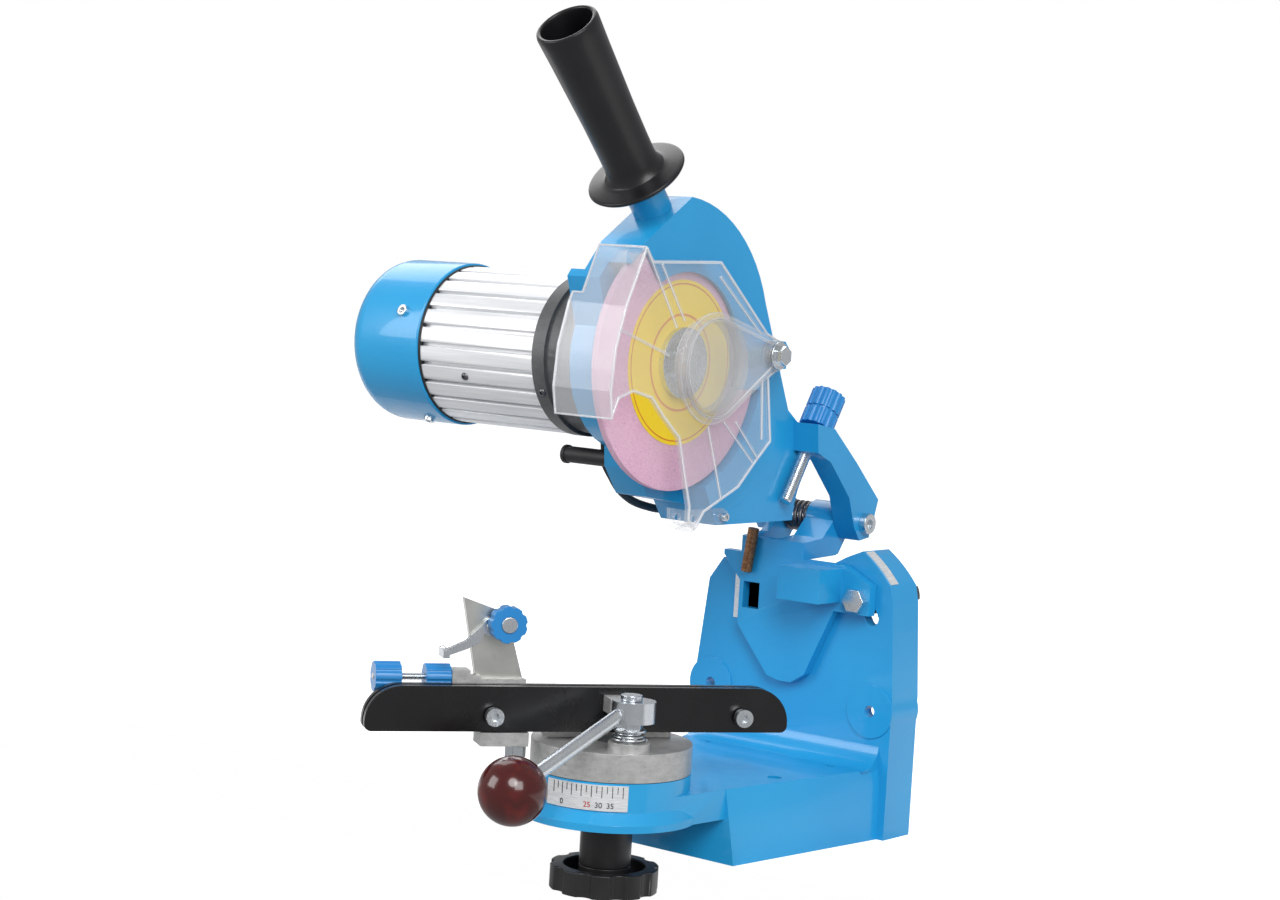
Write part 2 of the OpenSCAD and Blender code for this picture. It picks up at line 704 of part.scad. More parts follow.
/* ---- hinge ---- */
module hinge_shaft() {
    color(steel) on_hinge() rod_x(cheek_l0 + 1, cheek_r1 - 1, hinge_d / 2);
}
module hinge_end_screws() {
    color(steel) on_hinge() {
        translate([cheek_r1, 0, 0]) rotate([0, 90, 0]) socket_head(6.2, 4.5);
        translate([cheek_l0, 0, 0]) rotate([0, -90, 0]) socket_head(6.2, 4.5);
    }
}
// Torsion spring round the hinge shaft: one wire, legs straight at both ends
tors_wire = 1.3;
tors_turns = 4;
tors_r = 8.2;
tors_x0 = lug_l1 + 2;
tors_x1 = lug_r0 - 2;
function torsion_path() = [for (i = [0 : 8 * tors_turns])
    [tors_x0 + (tors_x1 - tors_x0) * i / (8 * tors_turns),
     tors_r * cos(45 * i + 200), tors_r * sin(45 * i + 200)]];
module torsion_spring() {
    color(steel) on_hinge() swept_tube(torsion_path(), tors_wire, 6);
}
function least_gap(p, skip, wire) = min([for (i = [0 : len(p) - 1 - skip])
    for (j = [i + skip : len(p) - 1]) norm(p[i] - p[j])]) - 2 * wire;

/* ---- arm ---- */
module arm_outline() {
    polygon(concat([[-wheel_y - 42.7, wheel_z + 65.1]],
        arc(-wheel_y + hood_off_y, wheel_z + hood_off_z, hood_r, 86, 20, 12),
        [[0, 284], [16, 250], [26, 243], [40, 240], [44, 228], [30, 222], [34, 200], [36, 184],
         [-49, 184], [-57, 195], [-92, 200], [-104, 216]],
        arc(-wheel_y, wheel_z, 53, 250, 160, 8),
        [[-146, 322]]));
}
module wheel_room() {
    translate([-wheel_y, wheel_z]) circle(r = cavity_r);
    polygon([[-104, 150], [-30, 150], [-60, 204], [-wheel_y, wheel_z], [-146, 300], [-200, 300],
        [-200, 150]]);
}
module arm_strut() {
    polygon([[22, 243], [40, 240], [66, 219], [92, 196], [hinge_y + 10.5, hinge_z + 3],
        [hinge_y + 6, hinge_z - 9], [hinge_y - 4, hinge_z - 10.5], [hinge_y - 11, hinge_z - 2],
        [60, 198], [38, 220], [24, 226]]);
}
// Lug that carries the guard bolt, from the hood's rear wall
module guard_lug() {
    side(arm_right - 2, guard_right - 0.1) polygon(concat(
        arc(guard_bolt_y, guard_bolt_z, 8, 90, 270, 10),
        [[-6, guard_bolt_z - 8], [-4, guard_bolt_z + 4], [-8, guard_bolt_z + 8]]));
}
module arm() {
    color(blue) difference() {
        union() {
            difference() {
                union() {
                    side(arm_left, arm_right) arm_outline();
                    // handle boss
                    on_handle() translate([0, 0, -11]) cylinder(r = 11, h = handle_boss + 11);
                }
                // wheel housing, open to the front
                side(cavity_left, web_in) wheel_room();
                // window of the right web
                side(web_in - 0.1, arm_right + 1) difference() {
                    wheel_room();
                    difference() {
                        polygon([[-131.5, 344.2], [-109.3, 318.6], [-wheel_y, wheel_z], [-wheel_y, 262],
                            [20, 262], [20, 400], [-131.5, 400]]);
                        translate([-wheel_y, wheel_z]) circle(r = 51);
                    }
                }
                // the hood's narrower top
                translate([arm_left - 1, -180, 326]) cube([hood_left - arm_left + 1, 200, 80]);
            }
            side(cheek_l0, cheek_l1) arm_strut();
            side(cheek_r0, cheek_r1) arm_strut();
            // cross strut that carries the depth screw
            side(cheek_l0, cheek_r1) polygon([[22, 243], [40, 240], [45, 233], [40, 226], [24, 226]]);
            guard_lug();
        }
        // motor spindle bore
        on_wheel_axis() rod_x(arm_left - 1, arm_right, 26);
        // swing clearance round the bracket
        on_hinge() rod_x(cheek_l1, cheek_r0, sweep_r);
        on_hinge() rod_x(cheek_l0 - 1, cheek_r1 + 1, hinge_d / 2 + run_fit);
        // hollow of the arm casting, open below
        side(arm_left + 6, cavity_left - 5) polygon([[-44, 183], [40, 183], [40, 222], [6, 222], [-4, 250],
            [-26, 260], [-38, 214]]);
        depth_axis() {
            cylinder(r = depth_d / 2 + run_fit, h = 200, center = true);
            // flat seat under the knob
            translate([0, 0, depth_len - 11]) cylinder(r = 11.4, h = 30);
        }
        on_guard_bolt() rod_x(-12, 30, 2.82);
        on_handle() translate([0, 0, -16]) cylinder(r = 4 + 0.02, h = 60);
        translate([arm_left, peg_y, peg_z]) rod_x(-1, 8, 3.02);
        for (p = arm_screw_at) translate([arm_right, p[0], p[1]]) rod_x(-9, 1, 1.52);
    }
}
module depth_axis() {
    translate([depth_x, depth_tip_y, depth_tip_z]) rotate([-depth_lean, 0, 0]) children();
}
module on_guard_bolt() {
    translate([guard_right, guard_bolt_y, guard_bolt_z]) children();
}
module depth_screw() {
    color(steel) depth_axis() cylinder(r = depth_d / 2, h = depth_len + 8);
}
module depth_knob() {
    color(blue) depth_axis() translate([0, 0, depth_len - 11]) difference() {
        union() {
            star_knob(10.5, 10.5, 14, depth_d / 2 + 0.02);
            translate([0, 0, 10]) cylinder(r = 9.4, h = 2);
            translate([0, 0, 11.5]) star_knob(10.5, 12, 14, depth_d / 2 + 0.02);
        }
        translate([0, 0, -1]) cylinder(r = depth_d / 2 + 0.02, h = 20);
    }
}

/* ---- handle ---- */
module on_handle() {
    translate([handle_x, handle_y, handle_z]) rotate([handle_lean, 0, 0]) children();
}
module handle_grip() {
    color(black) on_handle() rotate_extrude()
        polygon([[4.02, handle_boss], [11, handle_boss], [11.5, 14], [hand_guard_d / 2 - 3, 15.5],
            [hand_guard_d / 2, 17.5], [hand_guard_d / 2 - 2, 19.6], [16.2, 20.5], [15, 26], [15.4, 60],
            [17, 100], [17.8, 18 + grip_len], [14.6, 18 + grip_len], [14.2, 60.5], [4.02, 60.5]]);
}
module handle_stud() {
    color(steel) on_handle() {
        translate([0, 0, -15]) cylinder(r = 4, h = 79);
        translate([0, 0, 60.5]) hex(7.4, 5);
    }
}

/* ---- switch ---- */
module switch_body() {
    color(black) difference() {
        translate([arm_left - 16, -36, 208]) cube([16, 34, 26]);
        // well of the rocker, with its pivot
        translate([arm_left - 17, -31.5, 212.5]) cube([9, 25, 17]);
        translate([arm_left - 10, -19, 0]) translate([0, 0, 211]) cylinder(r = 1.52, h = 20);
    }
}
module switch_rocker() {
    color("#20242a") translate([arm_left - 10, -19, 221]) {
        linear_extrude(16, center = true)
            polygon([[-6.2, -10.2], [-7.6, -4], [-8.4, 3], [-7.4, 9.4], [-3, 10.6], [1.6, 0], [-3, -10.6]]);
        cylinder(r = 1.5, h = 19, center = true);
    }
}

/* ---- motor ---- */
module motor_flange() {
    color("#55585b") difference() {
        on_wheel_axis() union() {
            rod_x(-motor_start, arm_left - 0.02, motor_r - 1.5);
            rod_x(-motor_start, -motor_start + 9, motor_r + 0.5);
        }
        on_wheel_axis() {
            rod_x(-motor_start - 1, -motor_start + 8, motor_bore_r - 1.5);
            rod_x(-motor_start + 15, arm_left + 1, 30);
            rod_x(-motor_start - 1, arm_left + 1, 15 + 1);
        }
        // lead hole
        translate([lead_route[0][0], lead_route[0][1], wheel_z - motor_r - 2]) cylinder(r = 3.52, h = 20);
    }
}
module motor_housing() {
    color("#c3c6c8") on_wheel_axis() difference() {
        rod_x(-cap_start, -motor_start - 0.02, motor_r);
        rod_x(-cap_start - 1, -motor_start + 1, motor_bore_r);
        for (i = [0 : fins - 1]) rotate([i * 360 / fins, 0, 0])
            translate([-cap_start - 1, motor_r - 3.6, -1.2]) cube([cap_start - motor_start + 2, 8, 2.4]);
    }
}
module motor_cap() {
    r = motor_r + 2;
    color(blue) on_wheel_axis() difference() {
        rotate([0, -90, 0]) translate([0, 0, cap_start + 0.02]) difference() {
            rotate_extrude() polygon(concat([[0, 0], [r, 0]],
                arc(r - 12, cap_depth - 12, 12, 0, 90, 6), [[0, cap_depth]]));
            translate([0, 0, -1]) cylinder(r = motor_bore_r, h = cap_depth - 3);
        }
        // seats and holes of the cap screws
        on_cap_screws() {
            cylinder(r = 3.7, h = 8);
            translate([0, 0, -12]) cylinder(r = 1.7, h = 13);
        }
    }
}
// The four screws that hold the cap to the bearing carrier, heads outwards
module on_cap_screws() {
    for (a = [68, 158, 248, 338]) rotate([a, 0, 0])
        translate([-carrier_start - carrier_w / 2, motor_r + 1.4, 0]) rotate([-90, 0, 0]) children();
}
module stator() {
    color("#7c5a3a") on_wheel_axis() difference() {
        rod_x(-cap_start + 12, -motor_start - 14, motor_bore_r - 0.05);
        rod_x(-cap_start, -motor_start, 24);
    }
}
module rotor() {
    color(steel) on_wheel_axis() {
        rod_x(-carrier_start - carrier_w - 16, 9.8, shaft_d / 2);
        rod_x(-cap_start + 12, -motor_start - 14, 23.4);
        // cooling fan
        translate([-carrier_start - carrier_w - 16, 0, 0]) {
            rod_x(0, 7, 10);
            for (i = [0 : 8]) rotate([i * 40, 0, 0]) translate([0, -1, 9]) cube([13, 2, 25]);
        }
    }
}
// Front ball bearing and rear bearing with its carrier
module bearings() {
    color("#a9adb0") on_wheel_axis() {
        difference() {
            rod_x(-motor_start + 15.1, -motor_start + 24, 29.98);
            rod_x(-motor_start, arm_left, shaft_d / 2 + run_fit);
        }
        difference() {
            rod_x(-carrier_start - carrier_w, -carrier_start, motor_bore_r - 0.02);
            rod_x(-carrier_start - carrier_w - 1, -carrier_start + 1, shaft_d / 2 + run_fit);
            on_cap_screws() translate([0, 0, -12]) cylinder(r = 1.7, h = 13);
        }
    }
}
module motor_screws() {
    color(steel) on_wheel_axis() on_cap_screws() {
        socket_head(3.4, 3);
        translate([0, 0, -11]) cylinder(r = 1.68, h = 11);
    }
}

/* ---- wheel ---- */
module inner_flange() {
    color(steel) on_wheel_axis() difference() {
        union() {
            rod_x(-7.5, -wheel_t / 2, 26);
            rod_x(-wheel_t / 2 - 1, wheel_t / 2 - 0.5, wheel_bore / 2 - run_fit);
        }
        rod_x(-10, 10, shaft_d / 2 + 0.02);
    }
}
module grinding_wheel() {
    color("#e8b4cf") on_wheel_axis() difference() {
        rod_x(-wheel_t / 2, wheel_t / 2, wheel_r);
        rod_x(-wheel_t, wheel_t, wheel_bore / 2);
    }
}
module wheel_label() {
    color("#f6dc3c") on_wheel_axis() difference() {
        rod_x(wheel_t / 2, wheel_t / 2 + 0.4, 46.5);
        rod_x(0, 5, wheel_bore / 2);
    }
}
module wheel_nut() {
    color(steel) on_wheel_axis() difference() {
        union() {
            rod_x(wheel_t / 2 + 0.4, wheel_t / 2 + 4, 20);
            translate([wheel_t / 2 + 4, 0, 0]) rotate([0, 90, 0]) hex(11.5, 7);
        }
        rod_x(0, 9.85, shaft_d / 2 + 0.02);
    }
}

/* ---- guard ---- */
module guard_outline() {
    polygon([[-146, 340.6], [-138.8, 332.9], [-78, 335], [-30, 296], [-14, 290], [-14, 276], [-26, 270],
        [-20, 233], [-35, 220], [-49, 207], [-80, 194], [-88, 184], [-95, 190], [-95, 198],
        [-101.6, 217], [-107.7, 236], [-123, 248], [-134, 258], [-150, 261.6], [-161.6, 258],
        [-167, 247], [-170, 262], [-168, 285], [-161, 308]]);
}
module guard_rim() {
    polygon([[-146, 340.6], [-161, 308], [-168, 285], [-170, 262], [-167, 247],
        [-164.8, 248], [-167.6, 262], [-165.7, 284.6], [-159, 307], [-144.2, 339]]);
}
module wheel_guard() {
    color([0.85, 0.9, 0.95, 0.5]) difference() {
        union() {
            side(guard_right, guard_right + guard_t) guard_outline();
            difference() {
                side(guard_left, guard_right + 1) guard_rim();
                translate([guard_left - 1, -180, 314]) cube([8, 60, 40]);
            }
            side(arm_right + 0.6, guard_right + 1) polygon([[-146, 340.6], [-138.8, 332.9], [-78, 335],
                [-79, 332.8], [-139.6, 330.6], [-147.6, 339]]);
            // foot and strap down to the arm's lowest screw
            side(arm_right + 0.02, guard_right + 1) polygon([[-94, 186], [-88, 183], [-82, 186], [-82, 188.4],
                [-88, 185.6], [-94, 188.4]]);
            side(arm_right + 0.02, arm_right + 2.2) polygon([[-96, 196], [-95, 188], [-88, 183], [-80, 186],
                [-46, 184.6], [-41, 187], [-41, 192], [-46, 194], [-82, 194]]);
            // bulge over the wheel nut
            on_wheel_axis() rod_x(guard_right, guard_right + 12, 27);
            on_guard_bolt() rod_x(0, 7, 9);
        }
        on_wheel_axis() rod_x(guard_right - 1, guard_right + 10, 24.8);
        on_guard_bolt() rod_x(-1, 9, 3 + run_fit);
        translate([0, -88, 190]) rod_x(arm_right, guard_right + 4, 2.6);
        translate([0, arm_screw_at[0][0], arm_screw_at[0][1]]) rod_x(arm_right - 1, arm_right + 4, 1.55);
    }
}
module guard_bolt() {
    color(steel) on_guard_bolt() {
        rod_x(-10, 7.02, 2.8);
        rod_x(7.02, 8.2, 8);
        translate([8.2, 0, 0]) rotate([0, 90, 0]) hex(5.8, 4.2);
    }
}
// Screws in the arm's right face; the lowest one holds the guard's strap
arm_screw_at = [[-45, 189]];
module arm_screws() {
    color(steel) for (i = [0 : len(arm_screw_at) - 1])
        translate([arm_right + 2.2, arm_screw_at[i][0], arm_screw_at[i][1]]) rotate([0, 90, 0]) {
            socket_head(2.4, 2.6);
            translate([0, 0, -8]) cylinder(r = 1.5, h = 8.2);
        }
}

/* ---- cord ---- */
// Sleeved peg on the arm's left face, in front of the motor lead
module lead_peg() {
    color(black) translate([arm_left, peg_y, peg_z]) difference() {
        union() {
            rod_x(-34, 0, 4.75);
            rod_x(-34, -31.5, 5.4);
            rod_x(0, 7.9, 3);
        }
        rod_x(-35, -22, 3.6);
    }
}
// Grommets of the motor lead, at the motor flange and under the switch
module lead_glands() {
    color(black) {
        translate([lead_route[0][0], lead_route[0][1], lead_route[0][2]]) {
            cylinder(r1 = 3, r2 = 4.2, h = 8.5);
            cylinder(r = 3.5, h = 13);
        }
        translate([lead_route[9][0], lead_route[9][1], lead_route[9][2]])
            cylinder(r1 = 2.9, r2 = 4.2, h = 7);
    }
}
module motor_lead() {
    color(black) swept_tube(smooth_route(lead_route, 3), lead_d / 2, 8, [0, 0, -1], [0, 0, 1]);
}
// Tapered strain relief of the mains cord in the base's back wall
module cord_gland() {
    color(black) translate([gland_x, wall_front + plate_t, gland_z]) rotate([-90, 0, 0]) rotate_extrude()
        polygon([[0, -plate_t - 3], [8, -plate_t - 3], [8, -plate_t], [5.5, -plate_t], [5.5, 0], [8, 0], [8, 3],
            [6.4, 3.5], [cord_d / 2 + 0.7, gland_len], [0, gland_len]]);
}
module mains_cord() {
    color(black) swept_tube(smooth_route(cord_route, 4), cord_d / 2, 8, [0, 1, 0], [0, 1, 0]);
}
// Cord coil lying behind the base: spirals in, climbs and spirals out again
coil_turns = 6;
coil_mid_r = 36;
coil_pitch = cord_d + 0.6;
coil_out_r = coil_mid_r + coil_turns / 4 * coil_pitch;
coil_x = cord_route[7][0] - coil_out_r;
coil_y = cord_route[7][1] + cord_d;
function coil_path() = [for (i = [0 : 24 * coil_turns])
    let (half = 12 * coil_turns, u = i <= half ? i / half : 2 - i / half,
         layer = i < half - 6 ? 0 : i > half + 6 ? 1 : (i - half + 6) / 12,
         r = coil_out_r - coil_turns / 2 * coil_pitch * u)
    [coil_x + r * cos(15 * i), coil_y + r * sin(15 * i), cord_d / 2 + layer * coil_pitch]];
coil_in = coil_path()[0];
coil_end = coil_path()[24 * coil_turns];
module cord_coil() {
    color(black) swept_tube(concat([coil_in - [0, cord_d, 0]], coil_path(), [coil_end + [0, cord_d, 0]]),
        cord_d / 2, 6);
}
// Two-pin plug at the end of the coil, its body on the bench
plug_r = coil_end[2];
plug_pin = plug_r - 3.2;
module plug() {
    color(black) translate(coil_end + [0, cord_d, 0]) rotate([-90, 0, 0]) {
        union() {
            rotate_extrude() polygon([[0, 0], [cord_d / 2 + 0.4, 0], [5.4, 26], [8.6, 28], [plug_r, 36], [plug_r, 54], [0, 54]]);
            for (x = [-plug_pin, plug_pin]) translate([x, 0, 53.9]) cylinder(r = 2.4, h = 19.1);
        }
    }
}
echo("clamp spring gap", least_gap(clamp_spring_path(), 5, spring_wire));
echo("torsion spring gap", least_gap(torsion_path(), 5, tors_wire));
echo("cord coil gap", least_gap(coil_path(), 13, cord_d / 2));

base();
scale_plates();
vise_pivot_bolt();
lock_sleeve();
lock_knob();
vise_body();
rear_rail();
front_rail();
rail_screws();
clamp_slide();
clamp_bolt();
clamp_spring();
clamp_nut_and_washer();
lever_hub();
lever_rod();
lever_ball();
stop_carriage();
stop_column();
stop_pawl();
column_knob();
column_stud();
fine_screw();
fine_knob();
fine_lock_nut();
carriage_screws();
head_bracket();
tilt_pivot_bolt();
tilt_lock_bolt();
tilt_lock_knob();
hinge_shaft();
hinge_end_screws();
torsion_spring();
arm();
depth_screw();
depth_knob();
handle_grip();
handle_stud();
switch_body();
switch_rocker();
motor_flange();
motor_housing();
motor_cap();
stator();
rotor();
bearings();
motor_screws();
inner_flange();
grinding_wheel();
wheel_label();
wheel_nut();
wheel_guard();
guard_bolt();
arm_screws();
lead_peg();
lead_glands();
motor_lead();
cord_gland();
mains_cord();
cord_coil();
plug();
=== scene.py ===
import bmesh
import bpy
from math import acos, atan2, cos, hypot, pi, radians, sin
from mathutils import Matrix, Vector


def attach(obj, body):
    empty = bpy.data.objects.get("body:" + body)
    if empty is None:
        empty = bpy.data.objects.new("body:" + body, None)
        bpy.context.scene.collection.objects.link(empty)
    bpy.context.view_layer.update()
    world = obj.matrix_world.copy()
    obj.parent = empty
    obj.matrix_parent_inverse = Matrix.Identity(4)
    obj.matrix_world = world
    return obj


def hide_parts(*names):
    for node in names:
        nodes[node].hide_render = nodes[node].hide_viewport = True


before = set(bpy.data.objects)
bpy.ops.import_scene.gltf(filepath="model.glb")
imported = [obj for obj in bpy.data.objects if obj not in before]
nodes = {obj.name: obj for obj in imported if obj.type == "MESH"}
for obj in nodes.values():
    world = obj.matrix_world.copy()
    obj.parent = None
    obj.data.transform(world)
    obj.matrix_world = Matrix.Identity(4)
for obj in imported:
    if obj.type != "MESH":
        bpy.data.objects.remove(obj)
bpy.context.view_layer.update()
scene = bpy.context.scene
print("frame loaded:", len(nodes), "nodes")

# Camera: fitted to the wheel, its label, the motor, the vise and the rails.
cameraSet = {"place": (0.8765, -1.2232, 0.3271), "turn": 38.35, "rise": 4.01, "roll": 3.41, "lens": 71.93}


def makeCamera():
    turn, rise, roll = (radians(cameraSet[k]) for k in ("turn", "rise", "roll"))
    back = Vector((sin(turn) * cos(rise), -cos(turn) * cos(rise), sin(rise)))
    flat = Vector((cos(turn), sin(turn), 0))
    lift = back.cross(flat)
    right = flat * cos(roll) + lift * sin(roll)
    up = lift * cos(roll) - flat * sin(roll)
    data = bpy.data.cameras.new("photoCamera")
    data.lens, data.sensor_width = cameraSet["lens"], 36
    data.clip_start, data.clip_end = 0.05, 60
    thing = bpy.data.objects.new("photoCamera", data)
    thing.matrix_world = Matrix((right, up, back)).transposed().to_4x4()
    thing.location = cameraSet["place"]
    scene.collection.objects.link(thing)
    scene.camera = thing


makeCamera()

# Places that many pieces share, in metres.
viseFrame = Matrix.Translation((0, -0.125, 0)) @ Matrix.Rotation(radians(55.6), 4, "Z")
wheelFrame = Matrix.Translation((0, -0.087, 0.277)) @ Matrix.Rotation(radians(90), 4, "Y")
handleFrame = Matrix.Translation((-0.012, -0.106, 0.366)) @ Matrix.Rotation(radians(41.5), 4, "X")
depthFrame = Matrix.Translation((0.011, 0.0116, 0.196)) @ Matrix.Rotation(radians(-31.5), 4, "X")
leverFrame = (viseFrame @ Matrix.Translation((0, -0.032, 0.091)) @ Matrix.Rotation(radians(207), 4, "Z")
              @ Matrix.Rotation(radians(24.7), 4, "Y"))
alongX = Matrix.Rotation(radians(90), 4, "Y")
alongY = Matrix.Rotation(radians(-90), 4, "X")
upright = Matrix(((1, 0, 0, 0), (0, 0, 1, 0), (0, 1, 0, 0), (0, 0, 0, 1)))
sideways = Matrix(((0, 0, 1, 0), (1, 0, 0, 0), (0, 1, 0, 0), (0, 0, 0, 1)))


def mm(*values):
    return Vector(values) * 0.001


class Wire:
    # one output socket that sums and products can be written with
    def __init__(self, finish, socket):
        self.finish, self.socket = finish, socket

    def math(self, kind, other):
        return self.finish.add("ShaderNodeMath", {"operation": kind}, {0: self, 1: other})

    def __add__(self, other): return self.math("ADD", other)
    def __radd__(self, other): return self.math("ADD", other)
    def __mul__(self, other): return self.math("MULTIPLY", other)
    def __sub__(self, other): return self.math("SUBTRACT", other)
    def __rsub__(self, other): return (self * -1) + other
    def __pow__(self, other): return self.math("POWER", other)
    def __gt__(self, other): return self.math("GREATER_THAN", other)
    def __lt__(self, other): return self.math("LESS_THAN", other)


class Finish:
    def __init__(self, name):
        self.material = bpy.data.materials.new(name)
        self.material.use_nodes = True
        self.tree = self.material.node_tree
        self.shader = self.tree.nodes["Principled BSDF"]

    def feed(self, node, sockets):
        for name, value in sockets.items():
            socket = node.inputs[name]
            if isinstance(value, Wire):
                self.tree.links.new(value.socket, socket)
            elif hasattr(value, "__len__") and len(value) == 3 and socket.type == "RGBA":
                socket.default_value = (*value, 1)
            else:
                socket.default_value = value

    def add(self, kind, settings=None, sockets=None, out=0):
        node = self.tree.nodes.new(kind)
        for name, value in (settings or {}).items():
            if name == "stops":
                while len(node.color_ramp.elements) < len(value):
                    node.color_ramp.elements.new(0.5)
                for stop, (place, colour) in zip(node.color_ramp.elements, value):
                    stop.position = place
                    stop.color = (*colour, 1) if hasattr(colour, "__len__") else (colour, colour, colour, 1)
            else:
                setattr(node, name, value)
        self.feed(node, sockets or {})
        return Wire(self, node.outputs[out])

    def place(self, scale=(1, 1, 1), shift=(0, 0, 0)):
        spot = self.add("ShaderNodeTexCoord", out="Object")
        return self.add("ShaderNodeMapping", {}, {"Vector": spot, "Scale": scale, "Location": shift})

    def noise(self, size, detail=3.0, rough=0.5, scale=(1, 1, 1), out="Fac"):
        return self.add("ShaderNodeTexNoise", {}, {"Vector": self.place(scale), "Scale": size,
                                                   "Detail": detail, "Roughness": rough}, out)

    def ramp(self, value, *stops):
        return self.add("ShaderNodeValToRGB", {"stops": stops}, {"Fac": value})

    def mix(self, share, first, second):
        # inputs 6 and 7 and output 2 are the node's colour sockets
        return self.add("ShaderNodeMix", {"data_type": "RGBA"}, {0: share, 6: first, 7: second}, 2)

    def bump(self, height, strength, depth, normal=None):
        sockets = {"Height": height, "Strength": strength, "Distance": depth}
        if normal:
            sockets["Normal"] = normal
        return self.add("ShaderNodeBump", {}, sockets)

    def paint(self, **sockets):
        self.feed(self.shader, {k.replace("_", " "): v for k, v in sockets.items()})
        return self


def bluePaint(name, colour, deep, gloss):
    # enamel over a casting: soft orange peel, a little darker in patches
    f = Finish(name)
    cloud = f.noise(9, 2)
    peel = f.noise(420, 2)
    wave = f.noise(70, 2)
    dust = f.noise(1500, 3, 0.7)
    tint = f.mix(f.ramp(cloud, (0.3, 0), (0.7, 1)), (*deep, 1), (*colour, 1))
    speck = f.ramp(dust, (0.71, 0), (0.78, 0.25))
    return f.paint(Base_Color=f.mix(speck, tint, (0.15, 0.50, 0.78, 1)),
                   Roughness=gloss + wave * 0.12 + dust * 0.04,
                   Coat_Weight=0.45, Coat_Roughness=0.05, Specular_IOR_Level=0.4,
                   Normal=f.bump(peel, 0.16, 0.0004, f.bump(wave, 0.12, 0.0012)))


def cast(name, light, dark, metal, rough, grain):
    # bare or painted casting: skin of fine pits, flow patches
    f = Finish(name)
    patch = f.noise(28, 4, 0.6)
    pits = f.noise(grain, 4, 0.65)
    smear = f.noise(160, 3, 0.5, (1, 1, 2.5))
    tone = f.mix(f.ramp(patch * 0.6 + smear * 0.4, (0.35, 0), (0.68, 1)), (*dark, 1), (*light, 1))
    deep = (*[c * 0.45 for c in dark], 1)
    return f.paint(Base_Color=f.mix(f.ramp(pits, (0.28, 0.5), (0.42, 0)), tone, deep),
                   Metallic=metal, Roughness=rough + smear * 0.18 - patch * 0.08,
                   Normal=f.bump(pits, 0.35, 0.0004, f.bump(patch, 0.12, 0.0012)))


def plated(name, colour, tint, rough):
    # bright plating: faint clouds of a second tint, stains, fine draw marks
    f = Finish(name)
    cloud = f.noise(60, 3)
    marks = f.noise(900, 3, 0.6, (1, 1, 0.25))
    stain = f.noise(240, 5, 0.7)
    base = f.mix(f.ramp(cloud, (0.35, 0), (0.65, 1)), (*colour, 1), (*tint, 1))
    dull = (*[c * 0.55 for c in colour], 1)
    return f.paint(Base_Color=f.mix(f.ramp(stain, (0.6, 0), (0.8, 0.35)), base, dull),
                   Metallic=1.0, Roughness=rough + marks * 0.14 + stain * 0.06,
                   Normal=f.bump(marks, 0.05, 0.0001))


def moulded(name, colour, worn, rough, grain, bump, coat=0.0):
    # moulded plastic or rubber: spark grain, dusty patches
    f = Finish(name)
    skin = f.noise(grain, 3, 0.6)
    patch = f.noise(45, 3)
    scuff = f.noise(320, 5, 0.72, (1, 1, 0.4))
    tone = f.mix(f.ramp(patch, (0.35, 0), (0.75, 0.5)), (*colour, 1), (*worn, 1))
    pale = (*[min(1, c * 1.7 + 0.01) for c in worn], 1)
    return f.paint(Base_Color=f.mix(f.ramp(scuff, (0.62, 0), (0.8, 0.4)), tone, pale),
                   Roughness=rough + patch * 0.12 - scuff * 0.06, Coat_Weight=coat, Coat_Roughness=0.15,
                   Normal=f.bump(skin, bump, 0.0003))


def finMetal():
    # extruded aluminium: long die lines along the motor
    f = Finish("finMetal")
    lines = f.noise(2600, 2, 0.5, (0.012, 1, 1))
    wide = f.noise(190, 3, 0.5, (0.06, 1, 1))
    patch = f.noise(22, 3)
    base = f.mix(f.ramp(wide, (0.3, 0), (0.7, 1)), (0.76, 0.77, 0.79, 1), (0.94, 0.945, 0.955, 1))
    return f.paint(Base_Color=f.mix(f.ramp(lines, (0.3, 0.3), (0.6, 0)), base, (0.60, 0.61, 0.62, 1)),
                   Metallic=0.35, Roughness=0.3 + lines * 0.14 + patch * 0.1,
                   Normal=f.bump(lines, 0.2, 0.0002))


def ballResin():
    # cast phenolic: deep red with slow swirls, polished
    f = Finish("ballResin")
    bend = f.noise(22, 3, 0.6, out="Color")
    swirl = f.add("ShaderNodeTexNoise", {}, {"Vector": bend, "Scale": 3.2, "Detail": 4.0})
    hair = f.noise(700, 3, 0.6)
    base = f.mix(f.ramp(swirl, (0.35, 0), (0.68, 1)), (0.060, 0.003, 0.002, 1), (0.19, 0.008, 0.004, 1))
    return f.paint(Base_Color=base, Roughness=0.14 + hair * 0.08, Coat_Weight=0.35, Coat_Roughness=0.04,
                   Normal=f.bump(hair, 0.03, 0.0002))


def abrasive():
    # pink aluminium oxide: sharp grains, pores and pale sparkle
    f = Finish("abrasive")
    grain = f.add("ShaderNodeTexVoronoi", {}, {"Vector": f.place(), "Scale": 1350.0}, "Distance")
    tone = f.noise(1100, 4, 0.75)
    patch = f.noise(36, 3)
    pore = f.noise(820, 2, 0.5)
    base = f.mix(f.ramp(tone, (0.3, 0), (0.7, 1)), (0.66, 0.33, 0.50, 1), (0.90, 0.58, 0.74, 1))
    base = f.mix(f.ramp(patch, (0.3, 0), (0.75, 0.4)), base, (0.86, 0.62, 0.72, 1))
    base = f.mix(f.ramp(pore, (0.26, 0.75), (0.36, 0)), base, (0.42, 0.20, 0.32, 1))
    return f.paint(Base_Color=f.mix(f.ramp(grain, (0.0, 0.5), (0.16, 0)), base, (0.98, 0.86, 0.93, 1)),
                   Roughness=0.94 - tone * 0.2, Normal=f.bump(grain + tone, 0.55, 0.0005))


